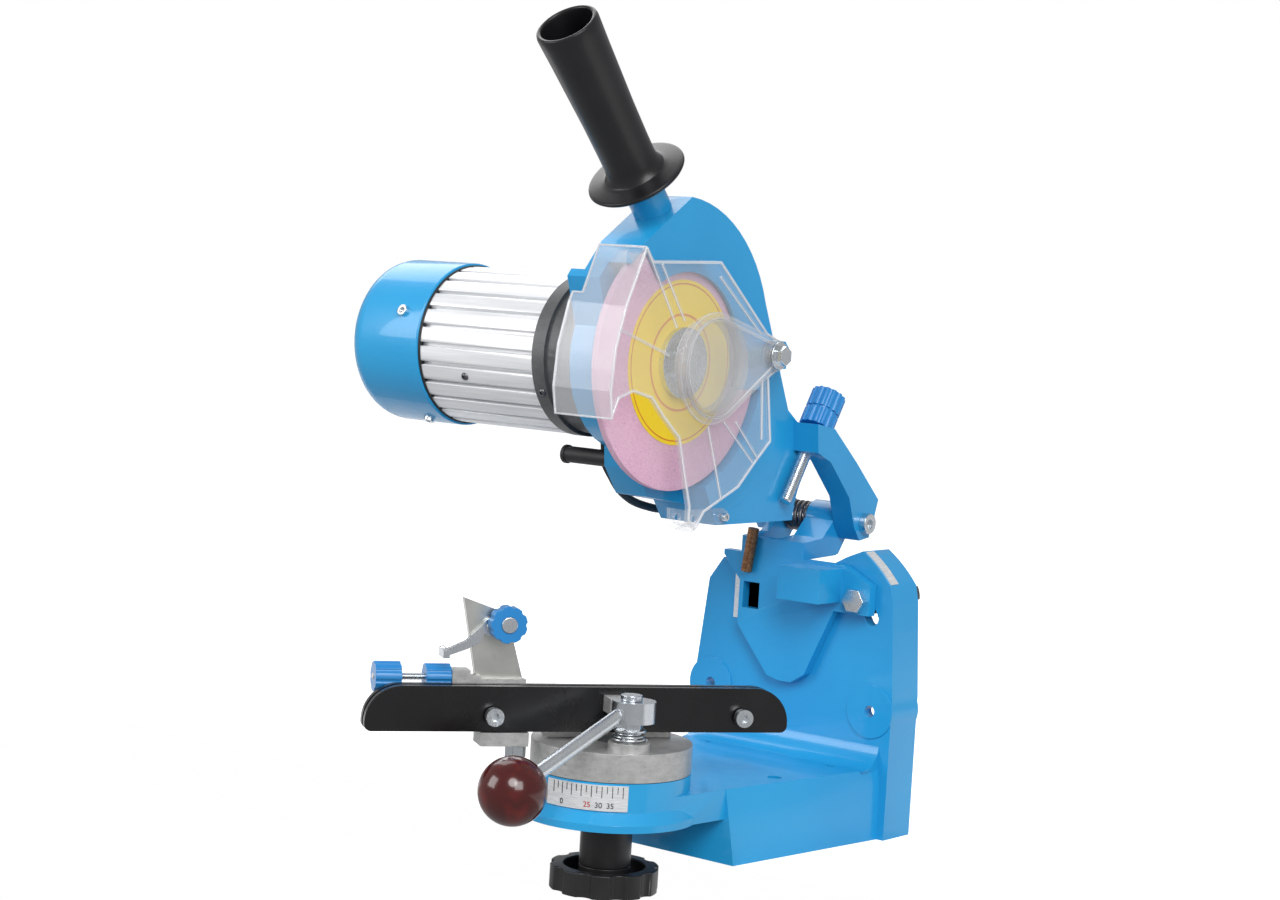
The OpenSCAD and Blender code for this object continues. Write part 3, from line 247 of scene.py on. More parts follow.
def labelPaper():
    # bare yellow paper disc: printed rings, fibre, a little wrinkled
    f = Finish("labelPaper")
    middle = (0, 0.087, -0.277)    # takes the wheel's axis to the origin
    spot = f.add("ShaderNodeSeparateXYZ", {}, {0: f.place(shift=middle)}, "Y")
    rise = f.add("ShaderNodeSeparateXYZ", {}, {0: f.place(shift=middle)}, "Z")
    reach = (spot * spot + rise * rise) ** 0.5
    fibre = f.noise(900, 5, 0.7)
    crease = f.noise(45, 3, 0.5)
    ring = (reach > 0.0438) * (reach < 0.0446)
    inner = (reach > 0.0262) * (reach < 0.0276)
    base = f.mix(f.ramp(fibre, (0.3, 0), (0.7, 1)), (0.98, 0.66, 0.010, 1), (1.0, 0.78, 0.02, 1))
    base = f.mix(ring * 0.75, base, (0.65, 0.07, 0.01, 1))
    return f.paint(Base_Color=f.mix(inner * 0.7, base, (0.7, 0.10, 0.01, 1)), Roughness=0.5 + fibre * 0.2,
                   Normal=f.bump(crease, 0.25, 0.0008, f.bump(fibre, 0.2, 0.0002)))


def clearPlastic(name, face, rimHighlight, tone=1.0):
    # clear guard: a thin pale veil, hairline scratches; painted highlight along its rounded rims and painted
    # sheen on its side walls, as extra cover where the normal turns away from X
    f = Finish(name)
    normal = f.add("ShaderNodeTexCoord", out="Normal")
    across = f.add("ShaderNodeMath", {"operation": "ABSOLUTE"},
                   {0: f.add("ShaderNodeSeparateXYZ", {}, {0: normal}, "X")})
    # more cover on the rounded rims is a painted highlight, more cover on the side walls a painted sheen
    rimHighlightMask = f.ramp(across, (0.12, 0), (0.34, 1), (0.88, 1), (0.98, 0))
    wall = f.ramp(across, (0.06, 1), (0.22, 0))
    scratch = f.noise(260, 5, 0.75, (1, 1, 0.15))
    haze = f.noise(26, 3)
    wave = f.noise(48, 2)
    cover = face + haze * 0.07 + rimHighlightMask * rimHighlight + wall * 0.11 + f.ramp(scratch, (0.66, 0), (0.76, 0.10))
    pale, grey = [(*[c * tone for c in rgb], 1) for rgb in ((0.90, 0.92, 0.94), (0.80, 0.82, 0.85))]
    return f.paint(Base_Color=f.mix(haze, pale, grey), Alpha=cover,
                   Roughness=0.05 + f.ramp(scratch, (0.6, 0), (0.75, 0.2)), Specular_IOR_Level=0.8,
                   Coat_Weight=0.6, Coat_Roughness=0.03, Normal=f.bump(wave, 0.08, 0.0015))


def scaleMetal():
    f = Finish("scaleMetal")
    brush = f.noise(1800, 3, 0.6, (0.1, 0.1, 1))
    patch = f.noise(90, 3)
    base = f.mix(f.ramp(brush, (0.3, 0), (0.7, 1)), (0.62, 0.63, 0.64, 1), (0.84, 0.85, 0.86, 1))
    return f.paint(Base_Color=base, Metallic=0.35, Roughness=0.36 + brush * 0.12 + patch * 0.08,
                   Normal=f.bump(brush, 0.1, 0.0002))


def wound(name, colour, dark, size):
    f = Finish(name)
    turns = f.noise(size, 3, 0.6, (0.05, 1, 1))
    patch = f.noise(60, 3)
    return f.paint(Base_Color=f.mix(f.ramp(turns, (0.35, 0), (0.65, 1)), (*dark, 1), (*colour, 1)),
                   Metallic=0.7, Roughness=0.35 + patch * 0.15, Normal=f.bump(turns, 0.5, 0.0005))


finishes = {
    "enamel": bluePaint("enamel", (0.018, 0.345, 0.680), (0.012, 0.285, 0.610), 0.24),
    "knobBlue": moulded("knobBlue", (0.012, 0.215, 0.560), (0.022, 0.260, 0.610), 0.28, 900, 0.10, 0.3),
    "viseCasting": cast("viseCasting", (0.60, 0.60, 0.59), (0.40, 0.40, 0.39), 0.55, 0.38, 520),
    "steelPlate": plated("steelPlate", (0.72, 0.72, 0.68), (0.60, 0.61, 0.57), 0.22),
    "flangeCasting": cast("flangeCasting", (0.135, 0.138, 0.14), (0.085, 0.088, 0.09), 0.35, 0.42, 640),
    "zinc": plated("zinc", (0.76, 0.79, 0.81), (0.66, 0.70, 0.74), 0.16),
    "darkSteel": plated("darkSteel", (0.20, 0.20, 0.21), (0.13, 0.13, 0.14), 0.30),
    "railBlack": moulded("railBlack", (0.0025, 0.0025, 0.003), (0.005, 0.005, 0.006), 0.24, 1500, 0.06, 0.15),
    "gripBlack": moulded("gripBlack", (0.005, 0.005, 0.006), (0.010, 0.010, 0.011), 0.30, 1100, 0.12, 0.1),
    "knobBlack": moulded("knobBlack", (0.010, 0.010, 0.010), (0.020, 0.020, 0.021), 0.36, 800, 0.28),
    "rubber": moulded("rubber", (0.012, 0.012, 0.013), (0.022, 0.022, 0.023), 0.50, 1300, 0.2),
    "greyKnob": moulded("greyKnob", (0.050, 0.053, 0.056), (0.070, 0.073, 0.077), 0.45, 700, 0.3),
    "finMetal": finMetal(),
    "ballResin": ballResin(),
    "abrasive": abrasive(),
    "labelPaper": labelPaper(),
    "clearPlastic": clearPlastic("clearPlastic", 0.11, 0.70, 0.86),
    "clearRib": clearPlastic("clearRib", 0.14, 0.60),
    # a brighter, more opaque copy of the clear plastic for the beads on the guard's edges: painted highlight
    # lines
    "clearRimHighlight": clearPlastic("clearRimHighlight", 0.36, 0.30, 1.04),
    "scaleMetal": scaleMetal(),
    "markBlack": moulded("markBlack", (0.012, 0.012, 0.012), (0.03, 0.03, 0.03), 0.5, 900, 0.05),
    "markRed": moulded("markRed", (0.45, 0.02, 0.015), (0.55, 0.05, 0.03), 0.5, 900, 0.05),
    "copper": wound("copper", (0.60, 0.24, 0.09), (0.28, 0.09, 0.03), 1500),
    "bronze": wound("bronze", (0.36, 0.18, 0.085), (0.16, 0.075, 0.035), 700),
    "brass": plated("brass", (0.80, 0.58, 0.26), (0.66, 0.46, 0.20), 0.2),
}
print("finishes made:", len(finishes))


def lathe(profile, place, steps=64):
    # a closed outline of (radius, height) in millimetres, spun about the place's own Z
    bm = bmesh.new()
    dots = [bm.verts.new((r * 0.001, 0, h * 0.001)) for r, h in profile]
    for a, b in zip(dots, dots[1:]):
        bm.edges.new((a, b))
    if min(profile[0][0], profile[-1][0]) > 0:
        bm.edges.new((dots[-1], dots[0]))
    bmesh.ops.spin(bm, geom=bm.verts[:] + bm.edges[:], cent=(0, 0, 0), axis=(0, 0, 1), angle=2 * pi,
                   steps=steps, use_merge=True)
    bmesh.ops.remove_doubles(bm, verts=bm.verts, dist=1e-6)
    bm.transform(place)
    bmesh.ops.recalc_face_normals(bm, faces=bm.faces)
    return bm


def threadedRod(place, low, high, radius, pitch):
    # a rod with its thread's crests and roots, chamfered at both ends
    root = radius - 0.6 * pitch
    line = [(0, low), (root, low), (radius, low + 0.9)]
    z = low + 0.9 + 0.2 * pitch
    while z < high - 1.2 * pitch - 0.9:
        line += [(radius, z), (root, z + 0.35 * pitch), (root, z + 0.5 * pitch), (radius, z + 0.85 * pitch)]
        z += pitch
    return lathe([*line, (radius, high - 0.9), (root, high), (0, high)], place, 32)


def slab(outline, low, high, place):
    # a flat outline in millimetres, raised from low to high along the place's own Z
    bm = bmesh.new()
    face = bm.faces.new([bm.verts.new((x * 0.001, y * 0.001, low * 0.001)) for x, y in outline])
    raised = bmesh.ops.extrude_face_region(bm, geom=[face])
    bmesh.ops.translate(bm, verts=[v for v in raised["geom"] if isinstance(v, bmesh.types.BMVert)],
                        vec=(0, 0, (high - low) * 0.001))
    bm.transform(place)
    bmesh.ops.recalc_face_normals(bm, faces=bm.faces)
    return bm


def rimOf(outer, inner, low, high):
    # a closed band between two outlines of (y, z), from low to high along X, in millimetres
    bm = bmesh.new()
    loops = [[bm.verts.new(mm(x, y, z)) for y, z in line] for line, x in
             ((outer, low), (outer, high), (inner, high), (inner, low))]
    for loop in loops:
        for a, b in zip(loop, loop[1:] + loop[:1]):
            bm.edges.new((a, b))
    rings = [[e for e in bm.edges if e.verts[0] in set(loop) and e.verts[1] in set(loop)] for loop in loops]
    for a, b in zip(rings, rings[1:] + rings[:1]):
        bmesh.ops.bridge_loops(bm, edges=a + b)
    bmesh.ops.recalc_face_normals(bm, faces=bm.faces)
    return bm


def block(size, place):
    # a bar with its own length, width and height in millimetres, centred on the place
    bm = bmesh.new()
    bmesh.ops.create_cube(bm, size=1, matrix=place @ Matrix.Diagonal((*(s * 0.001 for s in size), 1)))
    return bm


def join(bm, *others):
    for other in others:
        spare = bpy.data.meshes.new("spare")
        other.to_mesh(spare)
        bm.from_mesh(spare)
        other.free()
        bpy.data.meshes.remove(spare)
    return bm


def copyOf(name):
    # a copy of a CAD node, its flat faces made whole again
    bm = bmesh.new()
    bm.from_mesh(nodes[name].data)
    bmesh.ops.remove_doubles(bm, verts=bm.verts, dist=2e-6)
    bmesh.ops.dissolve_limit(bm, angle_limit=radians(0.8), verts=bm.verts, edges=bm.edges)
    return bm


def piece(name, bm, body, finish, replaced=(), edge=0.0, steps=2, angle=32, smooth=38):
    mesh = bpy.data.meshes.new(name)
    bm.to_mesh(mesh)
    bm.free()
    mesh.shade_smooth()
    mesh.set_sharp_from_angle(angle=radians(smooth))
    thing = bpy.data.objects.new(name, mesh)
    scene.collection.objects.link(thing)
    mesh.materials.clear()
    mesh.materials.append(finishes[finish].material)
    if edge:
        round_ = thing.modifiers.new("roundedEdge", "BEVEL")
        round_.width, round_.segments, round_.limit_method = edge * 0.001, steps, "ANGLE"
        round_.angle_limit, round_.harden_normals = radians(angle), True
        round_.miter_outer = "MITER_ARC"
        round_.use_clamp_overlap = True
    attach(thing, body)
    if replaced:
        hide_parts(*replaced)
    return thing


def rounded(name, node, body, finish, edge, steps=2, angle=32):
    # a CAD node's own shape with its edges rounded
    piece(name, copyOf(node), body, finish, [node], edge, steps, angle)


def dress(name, finish):
    # a CAD node that keeps its own mesh
    node = nodes[name]
    node.data.materials.clear()
    node.data.materials.append(finishes[finish].material)


def wire(name, points, thick, body, finish, replaced=(), turns=3, sides=4, handle="AUTO"):
    # a round wire or lead through points in millimetres
    data = bpy.data.curves.new(name, "CURVE")
    data.dimensions, data.bevel_depth, data.bevel_resolution = "3D", thick * 0.0005, sides
    data.resolution_u, data.use_fill_caps = turns, True
    line = data.splines.new("BEZIER")
    line.bezier_points.add(len(points) - 1)
    for dot, point in zip(line.bezier_points, points):
        dot.co = Vector(point) * 0.001
        dot.handle_left_type = dot.handle_right_type = handle
    data.materials.append(finishes[finish].material)
    thing = bpy.data.objects.new(name, data)
    scene.collection.objects.link(thing)
    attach(thing, body)
    if replaced:
        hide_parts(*replaced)
    return thing


def smoothRoute(points, steps):
    # Catmull-Rom through the points
    p = [Vector(v) for v in points]
    out = []
    for i in range(len(p) - 1):
        a, b, c, d = p[max(i - 1, 0)], p[i], p[i + 1], p[min(i + 2, len(p) - 1)]
        for k in range(steps):
            u = k / steps
            out.append(0.5 * (2 * b + (c - a) * u + (2 * a - 5 * b + 4 * c - d) * u * u
                              + (3 * b - a - 3 * c + d) * u * u * u))
    return out + [p[-1]]


cordSet = {
    "route": [(-48, 81, 20), (-48, 90, 20), (-48, 102, 17.5), (-48, 114, 11.5), (-48, 126, 6),
              (-48, 137, 3.6), (-48, 147, 3.2), (-48, 154, 3.2)],
    "thick": 6.4, "turns": 6, "middle": 36, "pitch": 7.0,
}
leadSet = {
    "route": [(-50, -84, 223), (-50, -84, 216), (-46, -82, 208), (-45, -75, 200), (-45, -63, 193.5),
              (-45, -48, 189.5), (-45, -34, 187.5), (-44.5, -22, 188.8),
              (-43.5, -13, 193.5), (-43, -10, 201)],
    "thick": 4.8, "bore": 2.45,
}
tieSet = {
    "wide": 10, "thick": 0.8, "bend": 3.2, "room": 3.5, "low": -0.1, "high": 13.7,
    "buckle": (9, 13, 1.4),
}


def coilPath():
    # the spare length: winds in, climbs on itself and winds out again
    turns, pitch, thick = cordSet["turns"], cordSet["pitch"], cordSet["thick"]
    outer = cordSet["middle"] + turns / 4 * pitch
    last = cordSet["route"][-1]
    cx, cy = last[0] - outer, last[1] + thick
    path = []
    half = 12 * turns    # steps to the innermost turn, 24 to each turn
    for i in range(2 * half + 1):
        u = i / half if i <= half else 2 - i / half
        layer = 0 if i < half - 6 else 1 if i > half + 6 else (i - half + 6) / 12
        r, a = outer - turns / 2 * pitch * u, radians(15 * i)
        path.append((cx + r * cos(a), cy + r * sin(a), thick / 2 + layer * pitch))
    return path, (cx, cy), outer


def makePlug(end):
    # moulded two-pin plug lying beside the coil, its pins sleeved
    place = Matrix.Translation(mm(*end)) @ alongY
    ribs = []
    for i in range(5):
        grow, at = i * 0.28, i * 4.2
        ribs += [(4.2 + grow, 3 + at), (4.2 + grow, 5.4 + at), (3.7 + grow, 5.6 + at), (3.7 + grow, 7.0 + at)]
    body = [(0, 0), (3.4, 0), (3.7, 2.8), *ribs, (5.4, 25), (8.2, 27.2), (8.9, 29), (9.9, 34), (10.1, 37),
            (10.1, 51.5), (9.6, 53.4), (8.8, 54), (0, 54)]
    bm = lathe(body, place, 48)
    apart = 7
    for side in (-1, 1):
        spot = place @ Matrix.Translation(mm(side * apart, 0, 0))
        join(bm, lathe([(0, 53.5), (2.35, 53.5), (2.35, 62.5), (0, 62.5)], spot, 20))
    plug = piece("mainsPlug", bm, "base", "rubber", ["plug"], 0.25)
    pin = [(0, 62), (1.95, 62), (1.95, 71.4), (1.5, 72.6), (0, 73)]
    pins = join(*[lathe(pin, place @ Matrix.Translation(mm(side * apart, 0, 0)), 20) for side in (1, -1)])
    return [plug, piece("plugPins", pins, "base", "brass")]


def makeTie(centre, outer):
    # strap round the coil's left side
    inside = outer - cordSet["pitch"] * cordSet["turns"] / 2
    room, z0, z1, bend = (tieSet[k] for k in ("room", "low", "high", "bend"))
    x0, x1 = centre[0] - outer - room, centre[0] - inside + room
    loop = []
    for cx, cz, start in ((x1 - bend, z1 - bend, 0), (x0 + bend, z1 - bend, 90), (x0 + bend, z0 + bend, 180),
                          (x1 - bend, z0 + bend, 270)):
        for k in range(5):
            a = radians(start + k * 22.5)
            loop.append((cx + bend * cos(a), cz + bend * sin(a)))
    bm = bmesh.new()
    dots = [bm.verts.new(mm(x, centre[1] - tieSet["wide"] / 2, z)) for x, z in loop]
    edges = [bm.edges.new((a, b)) for a, b in zip(dots, dots[1:] + dots[:1])]
    raised = bmesh.ops.extrude_edge_only(bm, edges=edges)
    bmesh.ops.translate(bm, verts=[v for v in raised["geom"] if isinstance(v, bmesh.types.BMVert)],
                        vec=mm(0, tieSet["wide"], 0))
    bmesh.ops.recalc_face_normals(bm, faces=bm.faces)
    bmesh.ops.solidify(bm, geom=bm.faces[:], thickness=tieSet["thick"] * 0.001)
    bmesh.ops.recalc_face_normals(bm, faces=bm.faces)
    join(bm, block(tieSet["buckle"], Matrix.Translation(mm((x0 + x1) / 2 + 2, centre[1], z1 + 0.5))))
    return piece("coilTie", bm, "base", "knobBlack", (), 0.3)


def makeCords():
    path, centre, outer = coilPath()
    line = smoothRoute(cordSet["route"], 3)[:-1]
    stub = cordSet["thick"]
    whole = [*line, Vector(path[0]) - Vector((0, stub, 0)), *path, Vector(path[-1]) + Vector((0, stub, 0))]
    whole = [p for i, p in enumerate(whole) if i == 0 or (Vector(p) - Vector(whole[i - 1])).length > 0.5]
    lead = wire("mainsLead", whole, cordSet["thick"], "base", "rubber",
                ["mains_cord", "cord_coil"])
    extras = makePlug((path[-1][0], path[-1][1] + stub, path[-1][2]))
    extras.append(makeTie(centre, outer))
    # lead from the motor flange, under the arm, to the switch
    low = smoothRoute(leadSet["route"], 3)
    loop = wire("motorLead", low, leadSet["thick"], "arm", "rubber", ["motor_lead"], 4, 5)
    # strain relief in the back wall: collars and a ribbed taper
    ribs = [(8, -10), (8, -7), (5.5, -7), (5.5, 0), (8, 0), (8, 3), (6.4, 3.6)]
    for i in range(6):
        r = 6.2 - i * 0.4
        ribs += [(r, 5 + i * 4), (r, 7.4 + i * 4), (r - 0.7, 7.6 + i * 4), (r - 0.7, 8.8 + i * 4)]
    ribs += [(3.9, 29.4), (3.6, 30), (0, 30)]
    gland = lathe([(0, -10), *ribs], Matrix.Translation(mm(-48, 51, 20)) @ alongY, 40)
    piece("cordGland", gland, "base", "rubber", ["cord_gland"], 0.2)
    for i, (spot, high) in enumerate(((leadSet["route"][0], 9), (leadSet["route"][-1], 7))):
        bore, place = leadSet["bore"], Matrix.Translation(mm(*spot))
        cone = [(bore, 0), (2.9, 0), (3.1, high * 0.35), (3.9, high * 0.9), (4.2, high), (bore, high)]
        sleeve = lathe(cone, place, 32)
        if i == 0:
            join(sleeve, lathe([(bore, 8.5), (3.5, 8.5), (3.5, 13), (bore, 13)], place, 32))
        replaced = ["lead_glands"] if i == 0 else []
        piece("leadSleeve%d" % i, sleeve, "arm", "rubber", replaced, 0.2)


makeCords()
print("cords made")


baseSet = {"edge": 2.4, "steps": 3, "fillet": 16, "half": 67}


def makeBase():
    rounded("baseCasting", "base", "base", "enamel", baseSet["edge"], baseSet["steps"], 30)
    # hollow fillet where the deck runs up into the wall, its back sunk into both
    r, half = baseSet["fillet"], baseSet["half"]
    curve = [(44.2 - r + r * sin(radians(90 * k / 12)), 41.8 + r - r * cos(radians(90 * k / 12)))
             for k in range(13)]
    outline = [(44.4, 41.4), (44.4 - r, 41.4), *curve]
    piece("deckFillet", slab(outline, -half, half, sideways), "base", "enamel", (), 0.4)


markSet = {
    "radius": 0.0458, "top": 0.0494, "first": -92, "step": 3.6, "count": 15,
    "long": 0.0062, "short": 0.0038, "tick": (0.00025, 0.00038),
    "figures": [("0", -85, "markBlack"), ("25", -66, "markRed"), ("30", -58, "markBlack"),
                ("35", -50, "markBlack")],
    "size": 0.0042, "rise": 0.00008, "foot": 0.0376,
}


def makeMarks():
    # ticks and figures of the vise's degree scale, on the nose
    dress("scale_plates", "scaleMetal")
    centre, radius, rise = Vector((0, -0.125, 0)), markSet["radius"], markSet["rise"]
    bm = bmesh.new()
    for i in range(markSet["count"]):
        angle = radians(markSet["first"] + markSet["step"] * i)
        tall = markSet["long"] if i % 2 == 0 else markSet["short"]
        spot = centre + Vector((radius * cos(angle), radius * sin(angle), markSet["top"] - tall / 2))
        turn = Matrix.Translation(spot) @ Matrix.Rotation(angle, 4, "Z")
        bmesh.ops.create_cube(bm, size=1, matrix=turn @ Matrix.Diagonal((*markSet["tick"], tall, 1)))
    piece("scaleTicks", bm, "base", "markBlack")
    for i, (figure, angle, finish) in enumerate(markSet["figures"]):
        data = bpy.data.curves.new("figure", "FONT")
        data.body, data.size, data.extrude, data.align_x = figure, markSet["size"], rise, "CENTER"
        spare = bpy.data.objects.new("figure", data)
        scene.collection.objects.link(spare)
        mesh = bpy.data.meshes.new_from_object(spare)
        bpy.data.objects.remove(spare)
        bm = bmesh.new()
        bm.from_mesh(mesh)
        bmesh.ops.remove_doubles(bm, verts=bm.verts, dist=1e-7)
        for v in bm.verts:
            a = radians(angle) + v.co.x / radius
            r = radius + rise + v.co.z
            v.co = centre + Vector((r * cos(a), r * sin(a), markSet["foot"] + v.co.y))
        bmesh.ops.recalc_face_normals(bm, faces=bm.faces)
        piece("scaleFigure%d" % i, bm, "base", finish)


tiltSet = {
    "left": -45, "right": -13, "low": 118, "high": 149, "wall": 44,
    "axis": 97, "radius": 44.5, "first": 112, "step": 4, "count": 9, "long": 3.4, "short": 2.2,
}


def makeTiltScale():
    # pale scale on the wall, behind the head bracket
    left, right, low, high = (tiltSet[k] for k in ("left", "right", "low", "high"))
    plate = slab([(left, low), (right, low), (right, high), (left, high)], -0.16, 0.02,
                 Matrix.Translation(mm(0, tiltSet["wall"], 0)) @ upright)
    piece("tiltScale", plate, "base", "scaleMetal")
    ticks, radius = bmesh.new(), tiltSet["radius"]
    for i in range(tiltSet["count"]):
        a = radians(tiltSet["first"] + tiltSet["step"] * i)
        long = tiltSet["long"] if i % 2 == 0 else tiltSet["short"]
        spot = Vector((radius * cos(a), 43.83, tiltSet["axis"] + radius * sin(a)))
        turn = Matrix.Translation(spot * 0.001) @ Matrix.Rotation(-a, 4, "Y")
        size = Matrix.Diagonal((long * 0.001, 0.00006, 0.0005, 1))
        bmesh.ops.create_cube(ticks, size=1, matrix=turn @ size)
    piece("tiltTicks", ticks, "base", "markBlack")


makeBase()
makeMarks()
makeTiltScale()
print("base made")


ballSet = {"radius": 18.5, "reach": 91, "bore": 4.05}
springSet = {"place": -32, "low": 72.7, "high": 77.1, "radius": 10, "taper": 3.6, "thick": 1.2, "steps": 72}


def makeVise():
    rounded("viseBody", "vise_body", "vise", "viseCasting", 1.4, 3)
    for name, body in (("rear_rail", "vise"), ("front_rail", "front_rail")):
        rounded(name.replace("_r", "R") + "Bar", name, body, "railBlack", 0.35)
    for name, body, finish, edge in (
            ("rail_screws", "vise", "zinc", 0.35), ("clamp_bolt", "vise", "zinc", 0.5),
            ("clamp_nut_and_washer", "vise", "zinc", 0.3), ("vise_pivot_bolt", "vise", "zinc", 0.4)):
        rounded(name.replace("_", "-"), name, body, finish, edge)
    rounded("clampSlide", "clamp_slide", "front_rail", "viseCasting", 0.5)
    rounded("leverHub", "lever_hub", "lever", "zinc", 0.6, 3)
    rounded("leverRod", "lever_rod", "lever", "zinc", 0.5)
    # ball, drilled for its rod, with a small flat round the hole
    r, bore = ballSet["radius"], ballSet["bore"]
    ball = [(0, r), *[(r * sin(radians(a)), r * cos(radians(a))) for a in range(5, 166, 5)],
            (4.6, -17.95), (bore, -17.6), (bore, -9), (0, -9)]
    place = leverFrame @ Matrix.Translation(mm(ballSet["reach"], 0, 0)) @ alongX
    piece("leverBall", lathe(ball, place, 72), "lever", "ballResin", ["lever_ball"])
    rounded("lockSleeve", "lock_sleeve", "base", "knobBlack", 0.5)
    rounded("lockKnob", "lock_knob", "lock_knob", "knobBlack", 1.1, 3)
    # tapered spring of three turns
    low, high, steps, spring = springSet["low"], springSet["high"], springSet["steps"], []
    for i in range(steps + 1):
        r, a = springSet["radius"] - springSet["taper"] * i / steps, radians(15 * i)
        spot = mm(r * cos(a), springSet["place"] + r * sin(a), low + (high - low) * i / steps)
        spring.append(viseFrame @ spot * 1000)
    wire("clampSpring", spring, springSet["thick"], "vise", "zinc", ["clamp_spring"], 2)


makeVise()
print("vise made")


fineSet = {
    "start": (-0.080977, -0.218625, 0.0988), "way": (0.564967, 0.825113, 0), "back": 0.011,
    "long": 64.5, "radius": 2, "pitch": 0.8,
}


def makeStop():
    rounded("stopCarriage", "stop_carriage", "carriage", "viseCasting", 0.7)
    rounded("stopColumn", "stop_column", "column", "steelPlate", 0.5)
    rounded("stopPawl", "stop_pawl", "pawl", "zinc", 0.3)
    rounded("columnKnob", "column_knob", "column_knob", "knobBlue", 0.6, 3)
    rounded("columnStud", "column_stud", "column_knob", "zinc", 0.5)
    rounded("fineKnob", "fine_knob", "fine_screw", "knobBlue", 0.6, 3)
    rounded("fineLockNut", "fine_lock_nut", "fine_lock_nut", "knobBlue", 0.6, 3)
    rounded("carriageScrews", "carriage_screws", "carriage", "zinc", 0.3)
    way = Vector(fineSet["way"])
    place = (Matrix.Translation(Vector(fineSet["start"]) - way * fineSet["back"])
             @ way.to_track_quat("Z", "Y").to_matrix().to_4x4())
    rod = threadedRod(place, 0, fineSet["long"], fineSet["radius"], fineSet["pitch"])
    piece("fineScrew", rod, "fine_screw", "zinc", ["fine_screw"], smooth=25)


makeStop()
print("chain stop made")


torsionSet = {"low": -29, "high": -14, "y": 78, "z": 182, "radius": 8.2, "thick": 2.6, "steps": 96}
pinSet = {"place": (-30.4, 34.2, 148.5), "lean": 8, "radius": 3.4, "long": 27}


def makeHead():
    rounded("headBracket", "head_bracket", "head", "enamel", 1.8, 3)
    for name, body, finish in (("tilt_pivot_bolt", "head", "zinc"), ("tilt_lock_bolt", "head", "zinc"),
                               ("hinge_end_screws", "arm", "zinc"), ("arm_screws", "arm", "zinc")):
        rounded(name.replace("_", "-"), name, body, finish, 0.35)
    rounded("tiltLockKnob", "tilt_lock_knob", "tilt_lock_knob", "greyKnob", 0.8, 3)
    dress("hinge_shaft", "zinc")
    low, high, y, z, r, steps = (torsionSet[k] for k in ("low", "high", "y", "z", "radius", "steps"))
    coil = []
    for i in range(steps + 1):
        a = radians(15 * i + 200)
        coil.append((low + (high - low) * i / steps, y + r * cos(a), z + r * sin(a)))
    wire("torsionSpring", coil, torsionSet["thick"], "head", "darkSteel", ["torsion_spring"], 2)
    # bronze pin on the bracket, under the arm
    r, long = pinSet["radius"], pinSet["long"]
    place = Matrix.Translation(mm(*pinSet["place"])) @ Matrix.Rotation(radians(pinSet["lean"]), 4, "Y")
    pin = lathe([(0, 0), (r - 0.4, 0), (r, 0.5), (r, long), (0, long)], place, 28)
    piece("stopPin", pin, "head", "bronze")


depthSet = {"long": 70, "radius": 4, "pitch": 1.25}


def makeArm():
    rounded("armCasting", "arm", "arm", "enamel", 2.0, 3, 28)
    rod = threadedRod(depthFrame, 0, depthSet["long"], depthSet["radius"], depthSet["pitch"])
    piece("depthScrew", rod, "depth_screw", "zinc", ["depth_screw"], smooth=25)
    rounded("depthKnob", "depth_knob", "depth_knob", "knobBlue", 0.45)
    # collar, waisted grip and its hollow end
    grip = [(4.02, 12), (9.6, 12), (10.6, 12.6), (11.2, 14.2), (13, 15.0), (24.5, 15.6), (27.4, 16.6),
            (28.5, 17.8), (28.2, 19), (26.2, 19.7), (20.5, 20.1), (17.6, 21.2), (15.6, 24), (14.9, 28),
            (15.0, 40), (15.4, 60), (16.2, 80), (17.0, 100), (17.6, 112), (17.8, 116.5), (17.3, 118.6),
            (16.2, 119), (15.0, 118.6), (14.5, 117), (14.2, 100), (14.2, 60.5), (4.02, 60.5)]
    piece("handleGrip", lathe(grip, handleFrame, 96), "arm", "gripBlack",
          ["handle_grip"], 0.3)
    dress("handle_stud", "zinc")
    rounded("leadPeg", "lead_peg", "arm", "rubber", 0.4)
    rounded("switchBody", "switch_body", "arm", "knobBlack", 0.7)
    rounded("switchRocker", "switch_rocker", "switch_rocker", "gripBlack", 0.5)


makeHead()
makeArm()
print("head and arm made")


motorSet = {
    "radius": 48.5, "end": 214, "shoulder": 14, "teeth": 26,
    # small screws: place along the motor, reach from its axis, angle below the horizontal
    "screws": [("flangeScrew", -62, 46.9, 27.3), ("finScrew", -120, 46.3, 21.3)],
}


